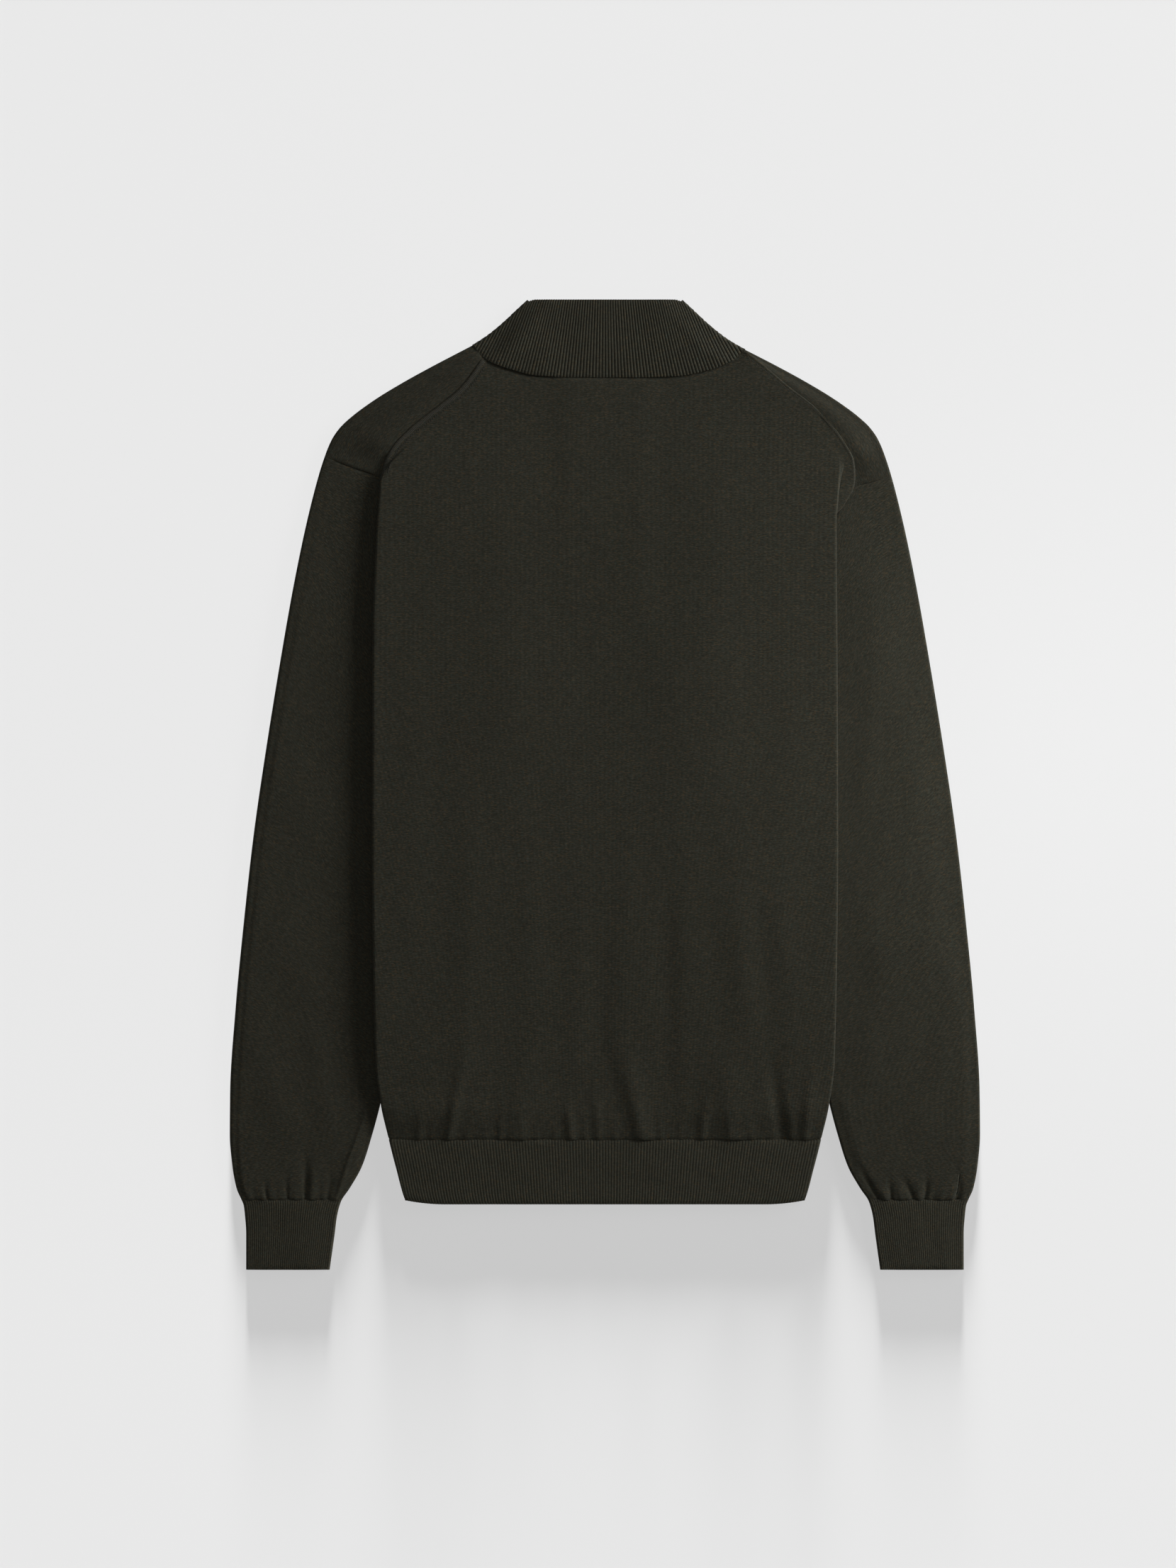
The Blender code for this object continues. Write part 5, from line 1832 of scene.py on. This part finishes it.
class SWEATER_OT_buttons(Operator):
    """Make the four buttons and the thread that holds each"""

    bl_idname = "sweater.buttons"
    bl_label = "Buttons"

    def execute(self, context):
        disc = button(BUTTONS_Y[0], material("horn", horn_material))
        thread = sewing(BUTTONS_Y[0], thread_material())
        disc.name = disc.data.name = "sewn_button_1"
        thread.name = thread.data.name = "button_thread_1"
        for index, y in enumerate(BUTTONS_Y, start=1):
            shift = y - BUTTONS_Y[0]
            made = disc if index == 1 else copied(disc, f"sewn_button_{index}", shift)
            sewn = thread if index == 1 else copied(thread, f"button_thread_{index}", shift)
            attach(made, "root")
            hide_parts(f"button_{index}")
            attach(sewn, "root")
        return {"FINISHED"}


class SWEATER_OT_stitches(Operator):
    """Sew the linking stitches along the shoulder seams and under the collar"""

    bl_idname = "sweater.stitches"
    bl_label = "Seam stitches"

    def execute(self, context):
        back = bpy.data.objects["back"]
        context.view_layer.update()
        # The light copy of the yarn is a painted highlight on the raised stitches across the
        # shoulder seams; the dark copy is painted shade in the marks beside the left seam and in
        # the row under the collar.
        light, dark = seam_material("seam_yarn", 1.15), seam_material("seam_shadow", 0.3)
        for name, side, inward, pitch, from_y, to_y, size, sunk, crosses in SHOULDER_STITCHES:
            places, towards = seam_points(side, inward, pitch, from_y, to_y)
            if not crosses:
                towards = np.tile([0.0, 1.0], (len(places), 1))
            stitch_row(name, back, places, towards, size, sunk, light if crosses else dark)
        half, pitch, y, size, sunk = NECK_STITCHES
        x = np.arange(-half, half, pitch)
        places = np.column_stack([x, np.full(x.shape, y)])
        towards = np.tile([0.0, 1.0], (len(places), 1))
        stitch_row("neck_stitches", back, places, towards, size, sunk, dark)
        return {"FINISHED"}


class SWEATER_OT_stage(Operator):
    """Set the floor, the lights and the camera"""

    bl_idname = "sweater.stage"
    bl_label = "Floor, lights and camera"

    def light_up(self, stage):
        """The lights of the table: soft areas, and a spot for the pool of light."""
        for name, size, place, target in LIGHTS:
            kind = "AREA" if size else "SPOT"
            light = added(bpy.ops.object.light_add, type=kind, location=place)
            light.name = name
            light.data.energy = getattr(stage, name)
            if size:
                light.data.shape = "RECTANGLE"
                light.data.size, light.data.size_y = size
            else:
                light.data.spot_size = math.radians(SPOT_ANGLE)
                light.data.spot_blend = SPOT_BLEND
                light.data.shadow_soft_size = SPOT_RADIUS
            x, y, z = np.array(target) - np.array(place)
            tilt = math.atan2(math.hypot(x, y), -z)
            light.rotation_euler = (tilt, 0.0, math.atan2(y, x) - math.pi / 2)

    def shade_floor(self, stage, floor):
        """A very low sun beyond the collar lights only the floor, for the shadow below."""
        only = bpy.data.collections.new("floor_only")
        only.objects.link(floor)
        sun = added(bpy.ops.object.light_add, type="SUN", location=SUN_PLACE)
        sun.name = "low_sun"
        sun.data.energy = stage.sun
        sun.data.angle = math.radians(SUN_WIDTH)
        sun.rotation_euler = (math.radians(SUN_TILT), 0.0, 0.0)
        sun.light_linking.receiver_collection = only

    def execute(self, context):
        stage = context.scene.sweater_stage
        floor = added(bpy.ops.mesh.primitive_plane_add, size=FLOOR_SIZE)
        floor.name = "floor"
        floor.data.materials.append(material("floor", floor_material, stage.floor, stage.glow))
        self.light_up(stage)
        self.shade_floor(stage, floor)

        world = bpy.data.worlds.new("soft_light")
        world.use_nodes = True
        background = world.node_tree.nodes["Background"]
        set_inputs(background, {"Color": (1.0, 1.0, 1.0, 1.0), "Strength": stage.around})
        context.scene.world = world

        place = (CAMERA_X, CAMERA_Y, stage.distance)
        camera = added(bpy.ops.object.camera_add, location=place, rotation=(0, 0, 0))
        camera.data.lens = LENS
        camera.data.sensor_width = SENSOR
        camera.data.clip_end = 50.0
        context.scene.camera = camera
        context.scene.view_settings.view_transform = "Standard"
        return {"FINISHED"}


class SWEATER_PT_parts(Panel):
    """Sizes, colours and pieces of the sweater"""

    bl_label = "Button-neck sweater"
    bl_space_type = "VIEW_3D"
    bl_region_type = "UI"
    bl_category = "Sweater"

    def draw(self, context):
        for group in (context.scene.sweater_knit, context.scene.sweater_stage):
            for key in group.bl_rna.properties.keys():
                if key not in ("rna_type", "name"):
                    self.layout.prop(group, key)
        for operator in OPERATORS:
            self.layout.operator(operator.bl_idname)


OPERATORS = (
    SWEATER_OT_back,
    SWEATER_OT_front,
    SWEATER_OT_sleeves,
    SWEATER_OT_hem,
    SWEATER_OT_cuffs,
    SWEATER_OT_collar,
    SWEATER_OT_placket,
    SWEATER_OT_buttons,
    SWEATER_OT_stitches,
    SWEATER_OT_stage,
)
CLASSES = (SweaterKnit, SweaterStage, *OPERATORS, SWEATER_PT_parts)


def register():
    for made in CLASSES:
        bpy.utils.register_class(made)
    bpy.types.Scene.sweater_knit = PointerProperty(type=SweaterKnit)
    bpy.types.Scene.sweater_stage = PointerProperty(type=SweaterStage)


def unregister():
    del bpy.types.Scene.sweater_stage
    del bpy.types.Scene.sweater_knit
    for made in reversed(CLASSES):
        bpy.utils.unregister_class(made)


def main():
    register()
    bpy.ops.sweater.back()
    bpy.ops.sweater.front()
    bpy.ops.sweater.sleeves()
    bpy.ops.sweater.hem()
    bpy.ops.sweater.cuffs()
    bpy.ops.sweater.collar()
    bpy.ops.sweater.placket()
    bpy.ops.sweater.buttons()
    bpy.ops.sweater.stitches()
    bpy.ops.sweater.stage()


if __name__ == "__main__":
    main()
